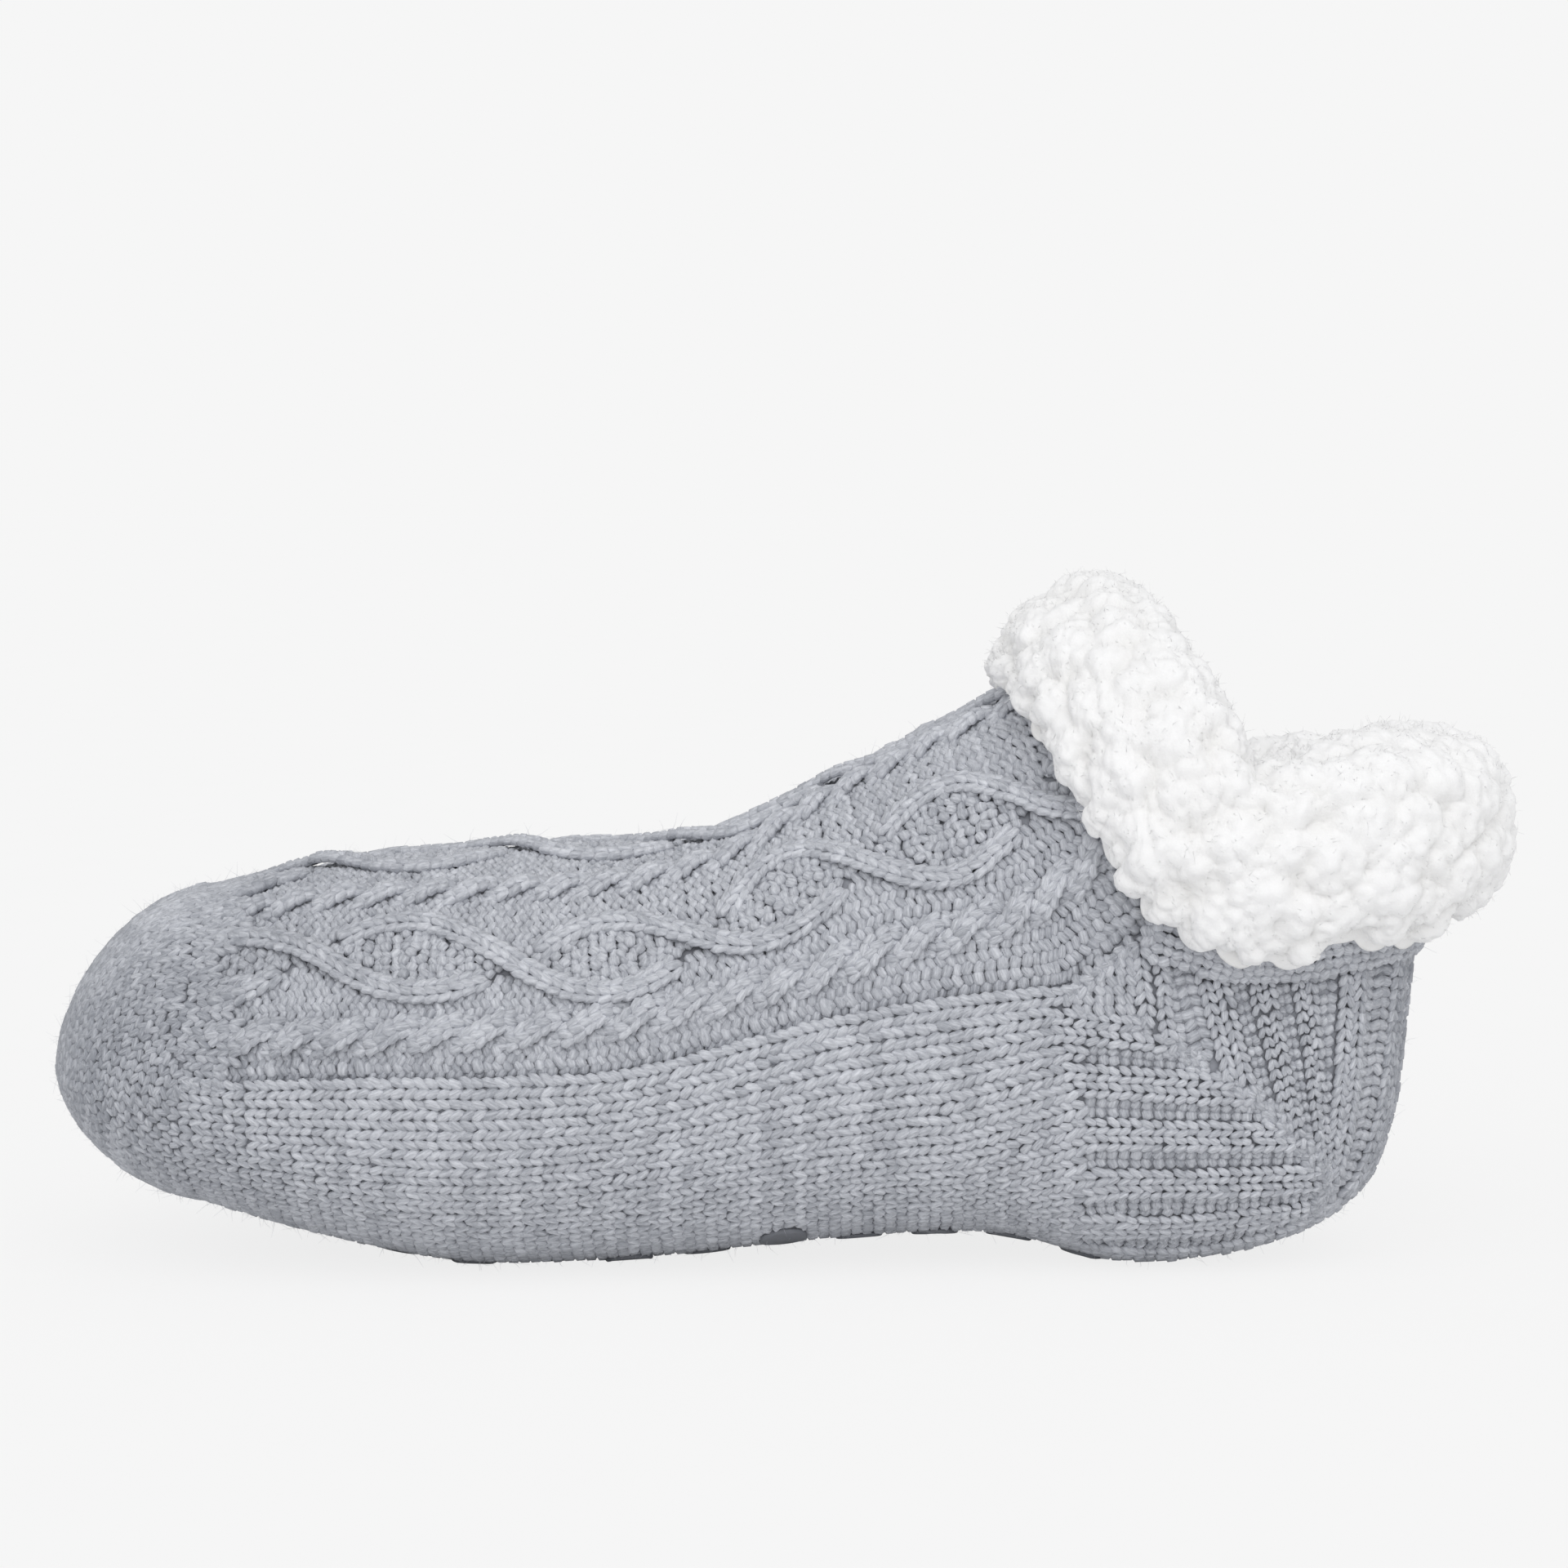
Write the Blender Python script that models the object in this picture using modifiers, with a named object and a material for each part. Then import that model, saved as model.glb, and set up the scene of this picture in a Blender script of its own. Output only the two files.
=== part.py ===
"""A cable-knit slipper sock with a turned-down fleece cuff, built on the shape of its last.

The sock lies along X with its toe at +X and stands on z = 0. The knit is one hollow wall, lofted
through sections that run from the sole, or from the back of the heel, up to the instep or to the
front of the leg. The sections fan around the heel, as the rows of a turned heel do, and around
the toe. Places on the wall are given as a station along the sections and a share around them:
-1 is the middle of the sole or heel, 0 the side edge of the cabled panel, 1 the middle of the instep.
"""
import math
from collections import namedtuple

import bmesh
import bpy
import numpy as np
from mathutils import Vector
from mathutils.bvhtree import BVHTree

# Driving dimensions of the last, in metres
FOOT_LENGTH = 0.256
BALL_WIDTH = 0.090
INSTEP_HEIGHT = 0.100
TOE_REACH = 0.029
SOLE_LIFT = 0.0009

# Roundness of the sections: 2 is an ellipse, more is squarer
INSTEP_FULLNESS = 2.1
TOE_FULLNESS = 2.1
TOE_TOP_ROUNDNESS = 1.75
TOE_SOLE_ROUNDNESS = 1.65

# The knit wall, measured inwards from the outside of the yarn
YARN_RISE = 0.0008
GROUND_DEPTH = 0.0014
LINING_DEPTH = 0.0040
FIT_GAP = 0.0003

# Cables of the instep panel
ROPE_HALF = 0.0040
STRAND_HALF = 0.0032
DIAMOND_HALF = 0.0082
DIAMOND_PITCH = 0.0343
FIRST_CROSSING = 0.0240
CABLE_START = 0.15
CABLE_FULL = 0.60
PANEL_MIDDLE = 0.45

# Mesh steps: stations per section row, and shares around each half
TOE_ROWS = 8
CABLE_ROWS = 5
HEEL_ROWS = 3
CABLE_SECTIONS = 6
LINING_ROWS = 2
SHARES = (0.0, 0.07, 0.14, 0.21, 0.28, 0.36, 0.44, 0.52, 0.60, 0.68, 0.77, 0.88, 1.0)

# Turned-down cuff and the knit hem under it
CUFF_SKIRT = 0.0140
SKIRT_GAP = 0.0007
SLOT_STEPS = 4
LUMP_SHARE = 0.07
LUMP_TURN_AROUND = 2.3
LUMP_TURN_ACROSS = 1.9
HEM_FRONT = 0.10
HEM_STEPS = 14
HEM_CLEAR = 0.0012
HEM_DROP = 0.0036
HEM_THICK = 0.0044
HEM_BASE_SHARE = 0.45
HEM_ROUND_STEPS = 5

# Grip dots of the sole: rows of two and of three by turns, from the heel to the toe, each with its spread
DOT_RADIUS = 0.0045
DOT_GAP = 0.00045
DOT_RISE = 0.0014
DOT_SIDES = 12
DOT_FIRST = 0.0464
DOT_PITCH = 0.0144
DOT_SPREADS = (0.0190, 0.0105, 0.0170, 0.0105, 0.0200, 0.0205, 0.0210, 0.0155, 0.0210, 0.0140, 0.0190)

TIP = -1.0
SOLE, EDGE, TOP = -1.0, 0.0, 1.0

# Fineness of the curves that lengths and slopes are read from
SLOPE_STEP = 0.004
ARC_POINTS = 121
SECTION_POINTS = 30
LINE_POINTS = 112
COLLAR_POINTS = 60
COLLAR_DEPTH = 4.0
MERGE_DISTANCE = 1e-6
MIRROR_DISTANCE = 1e-5
BELOW_FLOOR = -1.0

Section = namedtuple("Section", "name sole_x sole_z edge_x edge_z top_x top_z half_width fullness")
# Lengths in shares of the foot length, heights of the instep height, half widths of the ball width
SECTIONS = (
    Section("toe", 0.887, 0.110, 0.887, 0.365, 0.887, 0.700, 0.444, 2.30),
    Section("knuckle", 0.805, 0.050, 0.805, 0.380, 0.801, 0.748, 0.483, 2.40),
    Section("ball", 0.695, -0.004, 0.695, 0.390, 0.695, 0.775, 0.500, 2.50),
    Section("waist", 0.586, -0.002, 0.594, 0.410, 0.609, 0.786, 0.489, 2.50),
    Section("arch", 0.477, 0.022, 0.492, 0.450, 0.523, 0.800, 0.467, 2.45),
    Section("instep", 0.383, 0.042, 0.402, 0.485, 0.445, 0.885, 0.444, 2.45),
    Section("throat", 0.297, 0.042, 0.328, 0.510, 0.385, 0.957, 0.428, 2.60),
    Section("heel pad", 0.203, -0.013, 0.273, 0.530, 0.352, 1.003, 0.422, 2.80),
    Section("heel", 0.102, 0.026, 0.258, 0.540, 0.328, 1.030, 0.417, 3.00),
    Section("heel turn", 0.035, 0.120, 0.246, 0.550, 0.311, 1.050, 0.411, 3.00),
    Section("heel back", 0.010, 0.265, 0.234, 0.570, 0.297, 1.066, 0.406, 3.00),
    Section("ankle", 0.002, 0.420, 0.221, 0.610, 0.285, 1.083, 0.400, 3.00),
    Section("hem", -0.004, 0.580, 0.205, 0.672, 0.271, 1.105, 0.400, 2.90),
    Section("collar", -0.014, 0.880, 0.154, 0.860, 0.238, 1.165, 0.411, 2.60),
)
COLLAR = len(SECTIONS) - 1.0

Guide = namedtuple("Guide", "station low_rope diamond high_rope")
# Where the cables run: shares around the wall of their middle lines
GUIDES = (
    Guide(0.30, 0.180, 0.437, 0.690),
    Guide(1.05, 0.158, 0.448, 0.680),
    Guide(1.75, 0.157, 0.413, 0.668),
    Guide(2.47, 0.150, 0.352, 0.657),
    Guide(3.20, 0.150, 0.368, 0.657),
    Guide(3.90, 0.180, 0.375, 0.725),
    Guide(4.60, 0.190, 0.485, 0.770),
    Guide(5.35, 0.208, 0.472, 0.850),
    Guide(7.20, 0.207, 0.490, 0.870),
    Guide(9.50, 0.225, 0.445, 0.870),
)

Fold = namedtuple("Fold", "share flap out inward top")
# The cuff around the collar: length of the flap, how far it stands out and in, and its rise
FOLDS = (
    Fold(-1.00, 0.0265, 0.0160, 0.0110, 0.0115),
    Fold(-0.60, 0.0260, 0.0155, 0.0100, 0.0105),
    Fold(-0.20, 0.0280, 0.0135, 0.0090, 0.0095),
    Fold(0.00, 0.0215, 0.0125, 0.0085, 0.0095),
    Fold(0.30, 0.0195, 0.0120, 0.0085, 0.0125),
    Fold(0.60, 0.0185, 0.0120, 0.0100, 0.0130),
    Fold(1.00, 0.0185, 0.0125, 0.0115, 0.0115),
)

Roll = namedtuple("Roll", "rise drop inward out")
# Outline of the rolled fleece, from the inside skirt over the top to the edge of the flap
ROLL = (
    Roll(0.00, 0.55, 0.45, 0.00),
    Roll(0.00, 0.40, 0.90, 0.00),
    Roll(0.15, 0.00, 1.00, 0.00),
    Roll(0.72, 0.00, 0.72, 0.00),
    Roll(1.00, 0.00, 0.15, 0.00),
    Roll(0.94, 0.00, 0.00, 0.42),
    Roll(0.55, 0.00, 0.00, 0.84),
    Roll(0.00, 0.08, 0.00, 1.00),
    Roll(0.00, 0.40, 0.00, 1.03),
    Roll(0.00, 0.70, 0.00, 0.90),
    Roll(0.00, 0.92, 0.00, 0.66),
    Roll(0.00, 1.02, 0.00, 0.40),
)

KNIT_GREY = (0.36, 0.37, 0.40)
FLEECE_WHITE = (0.88, 0.88, 0.88)
GRIP_GREY = (0.09, 0.10, 0.12)


def spline(rows, place):
    """Return the smooth curve through evenly numbered rows, at a place among them."""
    last = len(rows) - 1
    padded = np.vstack([2 * rows[0] - rows[1], rows, 2 * rows[-1] - rows[-2]])
    start = int(min(max(place, 0), last - 1e-9))
    share = place - start
    before, here, after, beyond = padded[start:start + 4]
    bend = 2 * before - 5 * here + 4 * after - beyond
    twist = 3 * here - before - 3 * after + beyond
    return here + 0.5 * share * ((after - before) + share * (bend + share * twist))


SECTION_SCALE = (FOOT_LENGTH, INSTEP_HEIGHT) * 3 + (BALL_WIDTH, 1.0)
SECTION_ROWS = np.array([row[1:] for row in SECTIONS]) * SECTION_SCALE


def quarter(fullness, share):
    """Return how far out and how far down points lie on a quarter round, by share of its length."""
    angle = np.linspace(0.0, math.pi / 2, ARC_POINTS)
    out = np.cos(angle) ** (2 / fullness)
    down = np.sin(angle) ** (2 / fullness)
    length = np.concatenate([[0.0], np.cumsum(np.hypot(np.diff(out), np.diff(down)))])
    return np.interp(share, length / length[-1], out), np.interp(share, length / length[-1], down)


def last_row(station, shares):
    """Return points of the yarn's outside on one section, on the side of +Y."""
    shares = np.asarray(shares, float)
    if station < TIP:
        station, shares = 2 * TIP - station, -shares
    section = spline(SECTION_ROWS, max(station, 0))
    sole_x, sole_z, edge_x, edge_z, top_x, top_z, half_width, fullness = section
    past = np.abs(shares) > 1
    side = np.where(past, -1.0, 1.0)
    shares = np.where(past, np.sign(shares) * 2 - shares, shares)
    low = shares < 0
    toe = max(-station, 0)
    low_out, low_down = quarter(fullness + toe * (TOE_FULLNESS - fullness), np.abs(shares))
    top_out, top_down = quarter(INSTEP_FULLNESS + toe * (TOE_FULLNESS - INSTEP_FULLNESS), np.abs(shares))
    out = np.where(low, low_out, top_out)
    down = np.where(low, low_down, top_down)
    turn = toe * math.pi / 2
    roundness = np.where(low, TOE_SOLE_ROUNDNESS, TOE_TOP_ROUNDNESS)
    forward = TOE_REACH * math.sin(turn) ** (2 / roundness)
    level = math.cos(turn) ** (2 / roundness)
    x = edge_x + down * (np.where(low, sole_x, top_x) - edge_x + forward)
    z = edge_z + down * level * (np.where(low, sole_z, top_z) - edge_z)
    return np.stack([x, side * half_width * out, np.maximum(z, SOLE_LIFT)], axis=-1)


def normal_row(station, shares):
    """Return the outward normals of one section's points."""
    shares = np.asarray(shares, float)
    along = last_row(station + SLOPE_STEP, shares) - last_row(station - SLOPE_STEP, shares)
    around = last_row(station, shares + SLOPE_STEP) - last_row(station, shares - SLOPE_STEP)
    normal = np.cross(along, around)
    size = np.linalg.norm(normal, axis=-1, keepdims=True)
    pole = (shares == EDGE) & (station < 0)
    normal = np.where(pole[..., None], (0.0, 1.0, 0.0), normal / np.maximum(size, np.finfo(float).tiny))
    normal[np.abs(shares) == 1, 1] = 0.0
    return normal


def wall_row(station, shares, lift):
    """Return one section's points, moved along their normals by a lift for each."""
    points = last_row(station, shares)
    points[np.abs(shares) == 1, 1] = 0.0
    return points + normal_row(station, shares) * np.reshape(lift, (-1, 1))


def line_lengths(share, stations):
    """Return the length along the wall, at one share around it, up to each station."""
    points = np.array([last_row(station, [share])[0] for station in stations])
    return np.concatenate([[0.0], np.cumsum(np.linalg.norm(np.diff(points, axis=0), axis=1))])


PANEL_STATIONS = np.linspace(0.0, COLLAR, LINE_POINTS)
PANEL_LENGTHS = line_lengths(PANEL_MIDDLE, PANEL_STATIONS)


def ridge(distance, half):
    """Return the height, from 0 to 1, of a rounded ridge at a distance from its middle."""
    return np.maximum(0.0, 1 - (distance / half) ** 2)


def cable_lift(station, shares):
    """Return the lift of the knit wall at one section: plain on the sole, cabled on the instep."""
    shares = np.asarray(shares, float)
    panel_row = last_row(station, np.linspace(EDGE, TOP, SECTION_POINTS))
    across = np.linalg.norm(np.diff(panel_row, axis=0), axis=1).sum()
    run = np.interp(station, PANEL_STATIONS, PANEL_LENGTHS)
    swing = DIAMOND_HALF * abs(math.sin(math.pi * (run - FIRST_CROSSING) / DIAMOND_PITCH))
    columns = np.array(GUIDES).T
    low_rope, diamond, high_rope = (np.interp(station, columns[0], column) for column in columns[1:])
    height = np.maximum(ridge((shares - low_rope) * across, ROPE_HALF),
                        ridge((shares - high_rope) * across, ROPE_HALF))
    for middle in (diamond, TOP):
        for offset in (-swing, swing):
            height = np.maximum(height, ridge((shares - middle) * across + offset, STRAND_HALF))
    fade = min(max((station - CABLE_START) / (CABLE_FULL - CABLE_START), 0.0), 1.0)
    panel = (shares > EDGE) * fade
    return -YARN_RISE - GROUND_DEPTH * panel * (1 - height)


def add_grid(mesh, rows, outward):
    """Add a grid of faces through rows of points and return its vertices."""
    verts = [[mesh.verts.new(point) for point in row] for row in rows]
    for here, after in zip(verts, verts[1:]):
        for near, far in zip(range(len(here)), range(1, len(here))):
            face = [here[near], after[near], after[far], here[far]]
            mesh.faces.new(face if outward else face[::-1])
    return verts


def material(name, colour, roughness):
    """Return a plain Principled material."""
    made = bpy.data.materials.new(name)
    made.use_nodes = True
    shader = made.node_tree.nodes["Principled BSDF"]
    shader.inputs["Base Color"].default_value = (*colour, 1.0)
    shader.inputs["Roughness"].default_value = roughness
    shader.inputs["Metallic"].default_value = 0.0
    return made


def add_object(name, mesh, finish, collection, mirrored):
    """Make an object of a mesh, halved at y = 0 where it is mirrored."""
    bmesh.ops.remove_doubles(mesh, verts=mesh.verts[:], dist=MERGE_DISTANCE)
    data = bpy.data.meshes.new(name)
    mesh.to_mesh(data)
    mesh.free()
    data.shade_smooth()
    data.materials.append(finish)
    made = bpy.data.objects.new(name, data)
    collection.objects.link(made)
    if mirrored:
        mirror = made.modifiers.new("two sides", "MIRROR")
        mirror.use_axis = (False, True, False)
        mirror.merge_threshold = MIRROR_DISTANCE
    return made


def body_stations():
    """Return the stations of the knit's outside, closer together where the cables are."""
    toe = np.linspace(TIP, 0.0, TOE_ROWS + 1)
    cables = np.linspace(0.0, CABLE_SECTIONS, CABLE_SECTIONS * CABLE_ROWS + 1)
    heel = np.linspace(CABLE_SECTIONS, COLLAR, int(COLLAR - CABLE_SECTIONS) * HEEL_ROWS + 1)
    return np.concatenate([toe, cables[1:], heel[1:]])


def body_shares():
    """Return the shares around one side of the knit's outside, from the sole to the instep."""
    return np.concatenate([-np.array(SHARES[::-1]), SHARES[1:]])


def knit_half():
    """Return one side of the knit wall: its outside, its inside and the rim of the collar."""
    mesh = bmesh.new()
    shares = body_shares()
    outside = [wall_row(station, shares, cable_lift(station, shares)) for station in body_stations()]
    inner_stations = np.linspace(TIP, COLLAR, int(COLLAR - TIP) * LINING_ROWS + 1)
    inside = [wall_row(station, shares[::2], [-LINING_DEPTH]) for station in inner_stations]
    rim = add_grid(mesh, outside, True)[-1]
    lip = add_grid(mesh, inside, False)[-1]
    for place in range(len(lip) - 1):
        outer = rim[2 * place:2 * place + 3]
        mesh.faces.new([outer[0], lip[place], lip[place + 1], outer[2], outer[1]])
    return mesh


def outer_tree():
    """Return a search tree of the whole outside of the knit, for what sits on it."""
    mesh = bmesh.new()
    shares = body_shares()
    rows = np.array([wall_row(station, shares, cable_lift(station, shares)) for station in body_stations()])
    add_grid(mesh, rows, True)
    add_grid(mesh, rows * (1, -1, 1), False)
    mesh.normal_update()
    tree = BVHTree.FromBMesh(mesh)
    mesh.free()
    return tree


def collar_frame(share):
    """Return a function that places a point by its height above the rim and distance off the wall."""
    stations = np.linspace(COLLAR, COLLAR - COLLAR_DEPTH, COLLAR_POINTS)
    lengths = line_lengths(share, stations)
    upward = last_row(COLLAR, [share])[0] - last_row(COLLAR - SLOPE_STEP, [share])[0]
    upward /= np.linalg.norm(upward)

    def place(height, off):
        station = float(np.interp(max(-height, 0.0), lengths, stations))
        point = wall_row(station, np.array([share]), [off - YARN_RISE])[0]
        return point + upward * max(height, 0.0)

    return place


def fold_at(share):
    """Return the cuff's sizes at a share around the collar."""
    columns = np.array(FOLDS).T
    return Fold(share, *(np.interp(share, columns[0], column) for column in columns[1:]))


def cuff_half():
    """Return one side of the fleece cuff, a roll with a slot that sits over the knit's rim."""
    mesh = bmesh.new()
    wall = LINING_DEPTH - YARN_RISE
    loops = []
    for step, share in enumerate(body_shares()):
        place = collar_frame(share)
        fold = fold_at(share)
        loop = [(height, -wall - SKIRT_GAP) for height in np.linspace(-CUFF_SKIRT, FIT_GAP, SLOT_STEPS)]
        loop += [(height, FIT_GAP) for height in np.linspace(FIT_GAP, -fold.flap, SLOT_STEPS + 1)]
        for order, roll in enumerate(reversed(ROLL)):
            wave = math.sin(LUMP_TURN_AROUND * step + LUMP_TURN_ACROSS * order)
            lump = 1 + LUMP_SHARE * wave * (0 < order < len(ROLL) - 1)
            height = roll.rise * fold.top * lump - roll.drop * (fold.flap if roll.out else 2 * CUFF_SKIRT)
            off = roll.out * fold.out * lump if roll.out else -wall - roll.inward * fold.inward * lump
            loop.append((height, off))
        loops.append([place(height, off) for height, off in loop])
    closed = [loop + loop[:1] for loop in loops]
    add_grid(mesh, closed, False)
    return mesh


def hem_half():
    """Return one side of the knit hem, a rounded band under the rear of the flap."""
    mesh = bmesh.new()
    loops = []
    for share in np.linspace(SOLE, HEM_FRONT, HEM_STEPS + 1):
        place = collar_frame(share)
        top = -fold_at(share).flap - HEM_CLEAR
        middle = top - HEM_DROP / 2
        loop = [(top, FIT_GAP), (top - HEM_DROP, FIT_GAP)]
        for angle in np.linspace(-math.pi / 2, math.pi / 2, HEM_ROUND_STEPS):
            off = FIT_GAP + HEM_THICK * (HEM_BASE_SHARE + (1 - HEM_BASE_SHARE) * math.cos(angle))
            loop.append((middle + HEM_DROP / 2 * math.sin(angle), off))
        loops.append([place(height, off) for height, off in loop])
    rings = add_grid(mesh, [loop + loop[:1] for loop in loops], False)
    bmesh.ops.remove_doubles(mesh, verts=mesh.verts[:], dist=MERGE_DISTANCE)
    end = [vert for vert in rings[-1] if vert.is_valid]
    mesh.faces.new(end)
    return mesh


def grip_dot(tree, centre_x, centre_y):
    """Return one grip dot that follows the sole and ends on the floor's plane where it reaches it."""
    mesh = bmesh.new()
    angles = np.linspace(0, 2 * math.pi, DOT_SIDES, endpoint=False)
    centre = Vector((centre_x, centre_y, BELOW_FLOOR))
    ring = [centre + DOT_RADIUS * Vector((math.cos(angle), math.sin(angle), 0.0)) for angle in angles]
    layers = []
    for lift in (DOT_GAP, DOT_GAP + DOT_RISE):
        layer = []
        for start in [centre] + ring:
            hit, normal = tree.ray_cast(start, Vector((0, 0, 1)))[:2]
            point = hit + normal * lift
            point.z = max(point.z, 0.0)
            layer.append(mesh.verts.new(point))
        layers.append(layer)
    seat, foot = layers
    for here in range(1, DOT_SIDES + 1):
        after = here % DOT_SIDES + 1
        mesh.faces.new([seat[0], seat[here], seat[after]])
        mesh.faces.new([foot[0], foot[after], foot[here]])
        mesh.faces.new([seat[here], foot[here], foot[after], seat[after]])
    return mesh


def dot_places():
    """Return the middles of the grip dots, from the heel to the toe."""
    places = []
    for row, spread in enumerate(DOT_SPREADS):
        shares = (-0.5, 0.5) if row % 2 == 0 else (-1, 0, 1)
        places += [(DOT_FIRST + DOT_PITCH * row, spread * share) for share in shares]
    return places


def main():
    """Build the sock and set it over the middle of its own length."""
    for old in list(bpy.data.objects):
        bpy.data.objects.remove(old, do_unlink=True)
    collection = bpy.data.collections.new("cable_knit_slipper_sock")
    bpy.context.scene.collection.children.link(collection)
    knit = material("grey marl knit", KNIT_GREY, 0.95)
    fleece = material("white sherpa fleece", FLEECE_WHITE, 0.98)
    grip = material("grey grip compound", GRIP_GREY, 0.60)
    pieces = [
        add_object("knit_body", knit_half(), knit, collection, True),
        add_object("knit_hem", hem_half(), knit, collection, True),
        add_object("sherpa_cuff", cuff_half(), fleece, collection, True),
    ]
    tree = outer_tree()
    for number, (x, y) in enumerate(dot_places(), 1):
        pieces.append(add_object(f"grip_dot_{number:02d}", grip_dot(tree, x, y), grip, collection, False))
    lengths = [vert.co.x for piece in pieces for vert in piece.data.vertices]
    frame = bpy.data.objects.new("sock_frame", None)
    collection.objects.link(frame)
    frame.location.x = -(min(lengths) + max(lengths)) / 2
    for piece in pieces:
        piece.parent = frame


main()
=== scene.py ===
"""Looks of a cable-knit slipper sock with a turned-down fleece cuff.

Every stitch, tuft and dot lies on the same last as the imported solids. A place on the last is a station
along its sections, -1 at the toe tip and 13 at the collar, and a share around them: -1 is the middle of
the sole or heel, 0 the side edge of the cabled panel and 1 the middle of the instep. A station past the
tip turns back over the toe. Sizes are in metres.
"""
from __future__ import annotations

import logging
import math
from dataclasses import dataclass, field, replace
from enum import Enum

import bpy
import numpy as np
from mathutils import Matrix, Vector, kdtree, noise
from mathutils.bvhtree import BVHTree

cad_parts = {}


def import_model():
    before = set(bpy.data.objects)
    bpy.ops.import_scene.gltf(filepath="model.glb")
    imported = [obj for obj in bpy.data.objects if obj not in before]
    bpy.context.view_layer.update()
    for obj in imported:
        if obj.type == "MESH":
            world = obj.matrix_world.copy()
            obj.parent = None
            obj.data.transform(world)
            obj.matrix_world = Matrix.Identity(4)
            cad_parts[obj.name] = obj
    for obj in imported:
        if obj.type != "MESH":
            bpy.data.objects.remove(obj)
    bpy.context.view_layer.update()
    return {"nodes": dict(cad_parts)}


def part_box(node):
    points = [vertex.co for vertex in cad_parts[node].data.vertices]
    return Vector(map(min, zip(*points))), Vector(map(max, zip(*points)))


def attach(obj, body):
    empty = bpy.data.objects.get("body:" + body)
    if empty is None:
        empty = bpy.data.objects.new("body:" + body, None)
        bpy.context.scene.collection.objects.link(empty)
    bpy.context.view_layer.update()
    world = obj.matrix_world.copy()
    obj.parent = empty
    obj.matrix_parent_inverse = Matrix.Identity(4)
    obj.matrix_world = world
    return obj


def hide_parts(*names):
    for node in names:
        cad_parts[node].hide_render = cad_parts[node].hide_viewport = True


LOG = logging.getLogger("slipper_sock")
Array = np.ndarray
Colour = tuple[float, float, float]
Frame = tuple[Array, Array, Array, Array]
Table = tuple[tuple[float, ...], ...]

TIP, EDGE, RIDGE, SOLE = -1.0, 0.0, 1.0, -1.0
MILLIMETRE = 0.001
WELD = 1e-6

# Steps of station and of share over which directions on the last are read
STATION_STEP, SHARE_STEP = 0.03, 0.01

# How far the marl moves on from one wale to the next
MARL_STEP = 0.0036

# Half height of purl bars, and how far their ends sink
BAR_HEIGHT, BAR_DIP = 0.00085, 0.0003

# Sections of the last: x and z of the sole, the panel edge and the instep, half width and fullness.
# Lengths are shares of the foot length, heights of the instep height, half widths of the ball width.
SECTIONS = (
    (0.887, 0.110, 0.887, 0.365, 0.887, 0.700, 0.444, 2.30),
    (0.805, 0.050, 0.805, 0.380, 0.801, 0.748, 0.483, 2.40),
    (0.695, -0.004, 0.695, 0.390, 0.695, 0.775, 0.500, 2.50),
    (0.586, -0.002, 0.594, 0.410, 0.609, 0.786, 0.489, 2.50),
    (0.477, 0.022, 0.492, 0.450, 0.523, 0.800, 0.467, 2.45),
    (0.383, 0.042, 0.402, 0.485, 0.445, 0.885, 0.444, 2.45),
    (0.297, 0.042, 0.328, 0.510, 0.385, 0.957, 0.428, 2.60),
    (0.203, -0.013, 0.273, 0.530, 0.352, 1.003, 0.422, 2.80),
    (0.102, 0.026, 0.258, 0.540, 0.328, 1.030, 0.417, 3.00),
    (0.035, 0.120, 0.246, 0.550, 0.311, 1.050, 0.411, 3.00),
    (0.010, 0.265, 0.234, 0.570, 0.297, 1.066, 0.406, 3.00),
    (0.002, 0.420, 0.221, 0.610, 0.285, 1.083, 0.400, 3.00),
    (-0.004, 0.580, 0.205, 0.672, 0.271, 1.105, 0.400, 2.90),
    (-0.014, 0.880, 0.154, 0.860, 0.238, 1.165, 0.411, 2.60),
)
COLLAR = len(SECTIONS) - 1.0

# Lines of the cabled panel at stations: shares of its edge, low rope, diamonds and high rope,
# then the ropes' half width and the swings of the side diamonds and of those on top
PANEL = (
    (0.00, 0.060, 0.190, 0.440, 0.690, 0.0040, 0.0072, 0.0100),
    (0.50, 0.028, 0.182, 0.436, 0.690, 0.0041, 0.0075, 0.0105),
    (1.05, 0.024, 0.165, 0.448, 0.680, 0.0042, 0.0079, 0.0110),
    (1.75, 0.022, 0.163, 0.413, 0.668, 0.0042, 0.0080, 0.0112),
    (2.47, 0.012, 0.156, 0.352, 0.657, 0.0042, 0.0078, 0.0112),
    (3.20, 0.000, 0.155, 0.368, 0.657, 0.0042, 0.0077, 0.0105),
    (3.90, 0.015, 0.180, 0.375, 0.725, 0.0042, 0.0080, 0.0085),
    (4.60, 0.043, 0.190, 0.485, 0.770, 0.0043, 0.0089, 0.0060),
    (5.35, 0.050, 0.208, 0.472, 0.850, 0.0044, 0.0092, 0.0045),
    (7.20, 0.037, 0.218, 0.490, 0.870, 0.0044, 0.0096, 0.0040),
    (8.00, 0.031, 0.230, 0.470, 0.870, 0.0044, 0.0094, 0.0040),
    (9.70, 0.044, 0.240, 0.445, 0.870, 0.0044, 0.0090, 0.0040),
    (11.20, 0.034, 0.240, 0.445, 0.870, 0.0044, 0.0090, 0.0040),
    (12.10, -0.014, 0.240, 0.445, 0.870, 0.0044, 0.0090, 0.0040),
)

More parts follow.
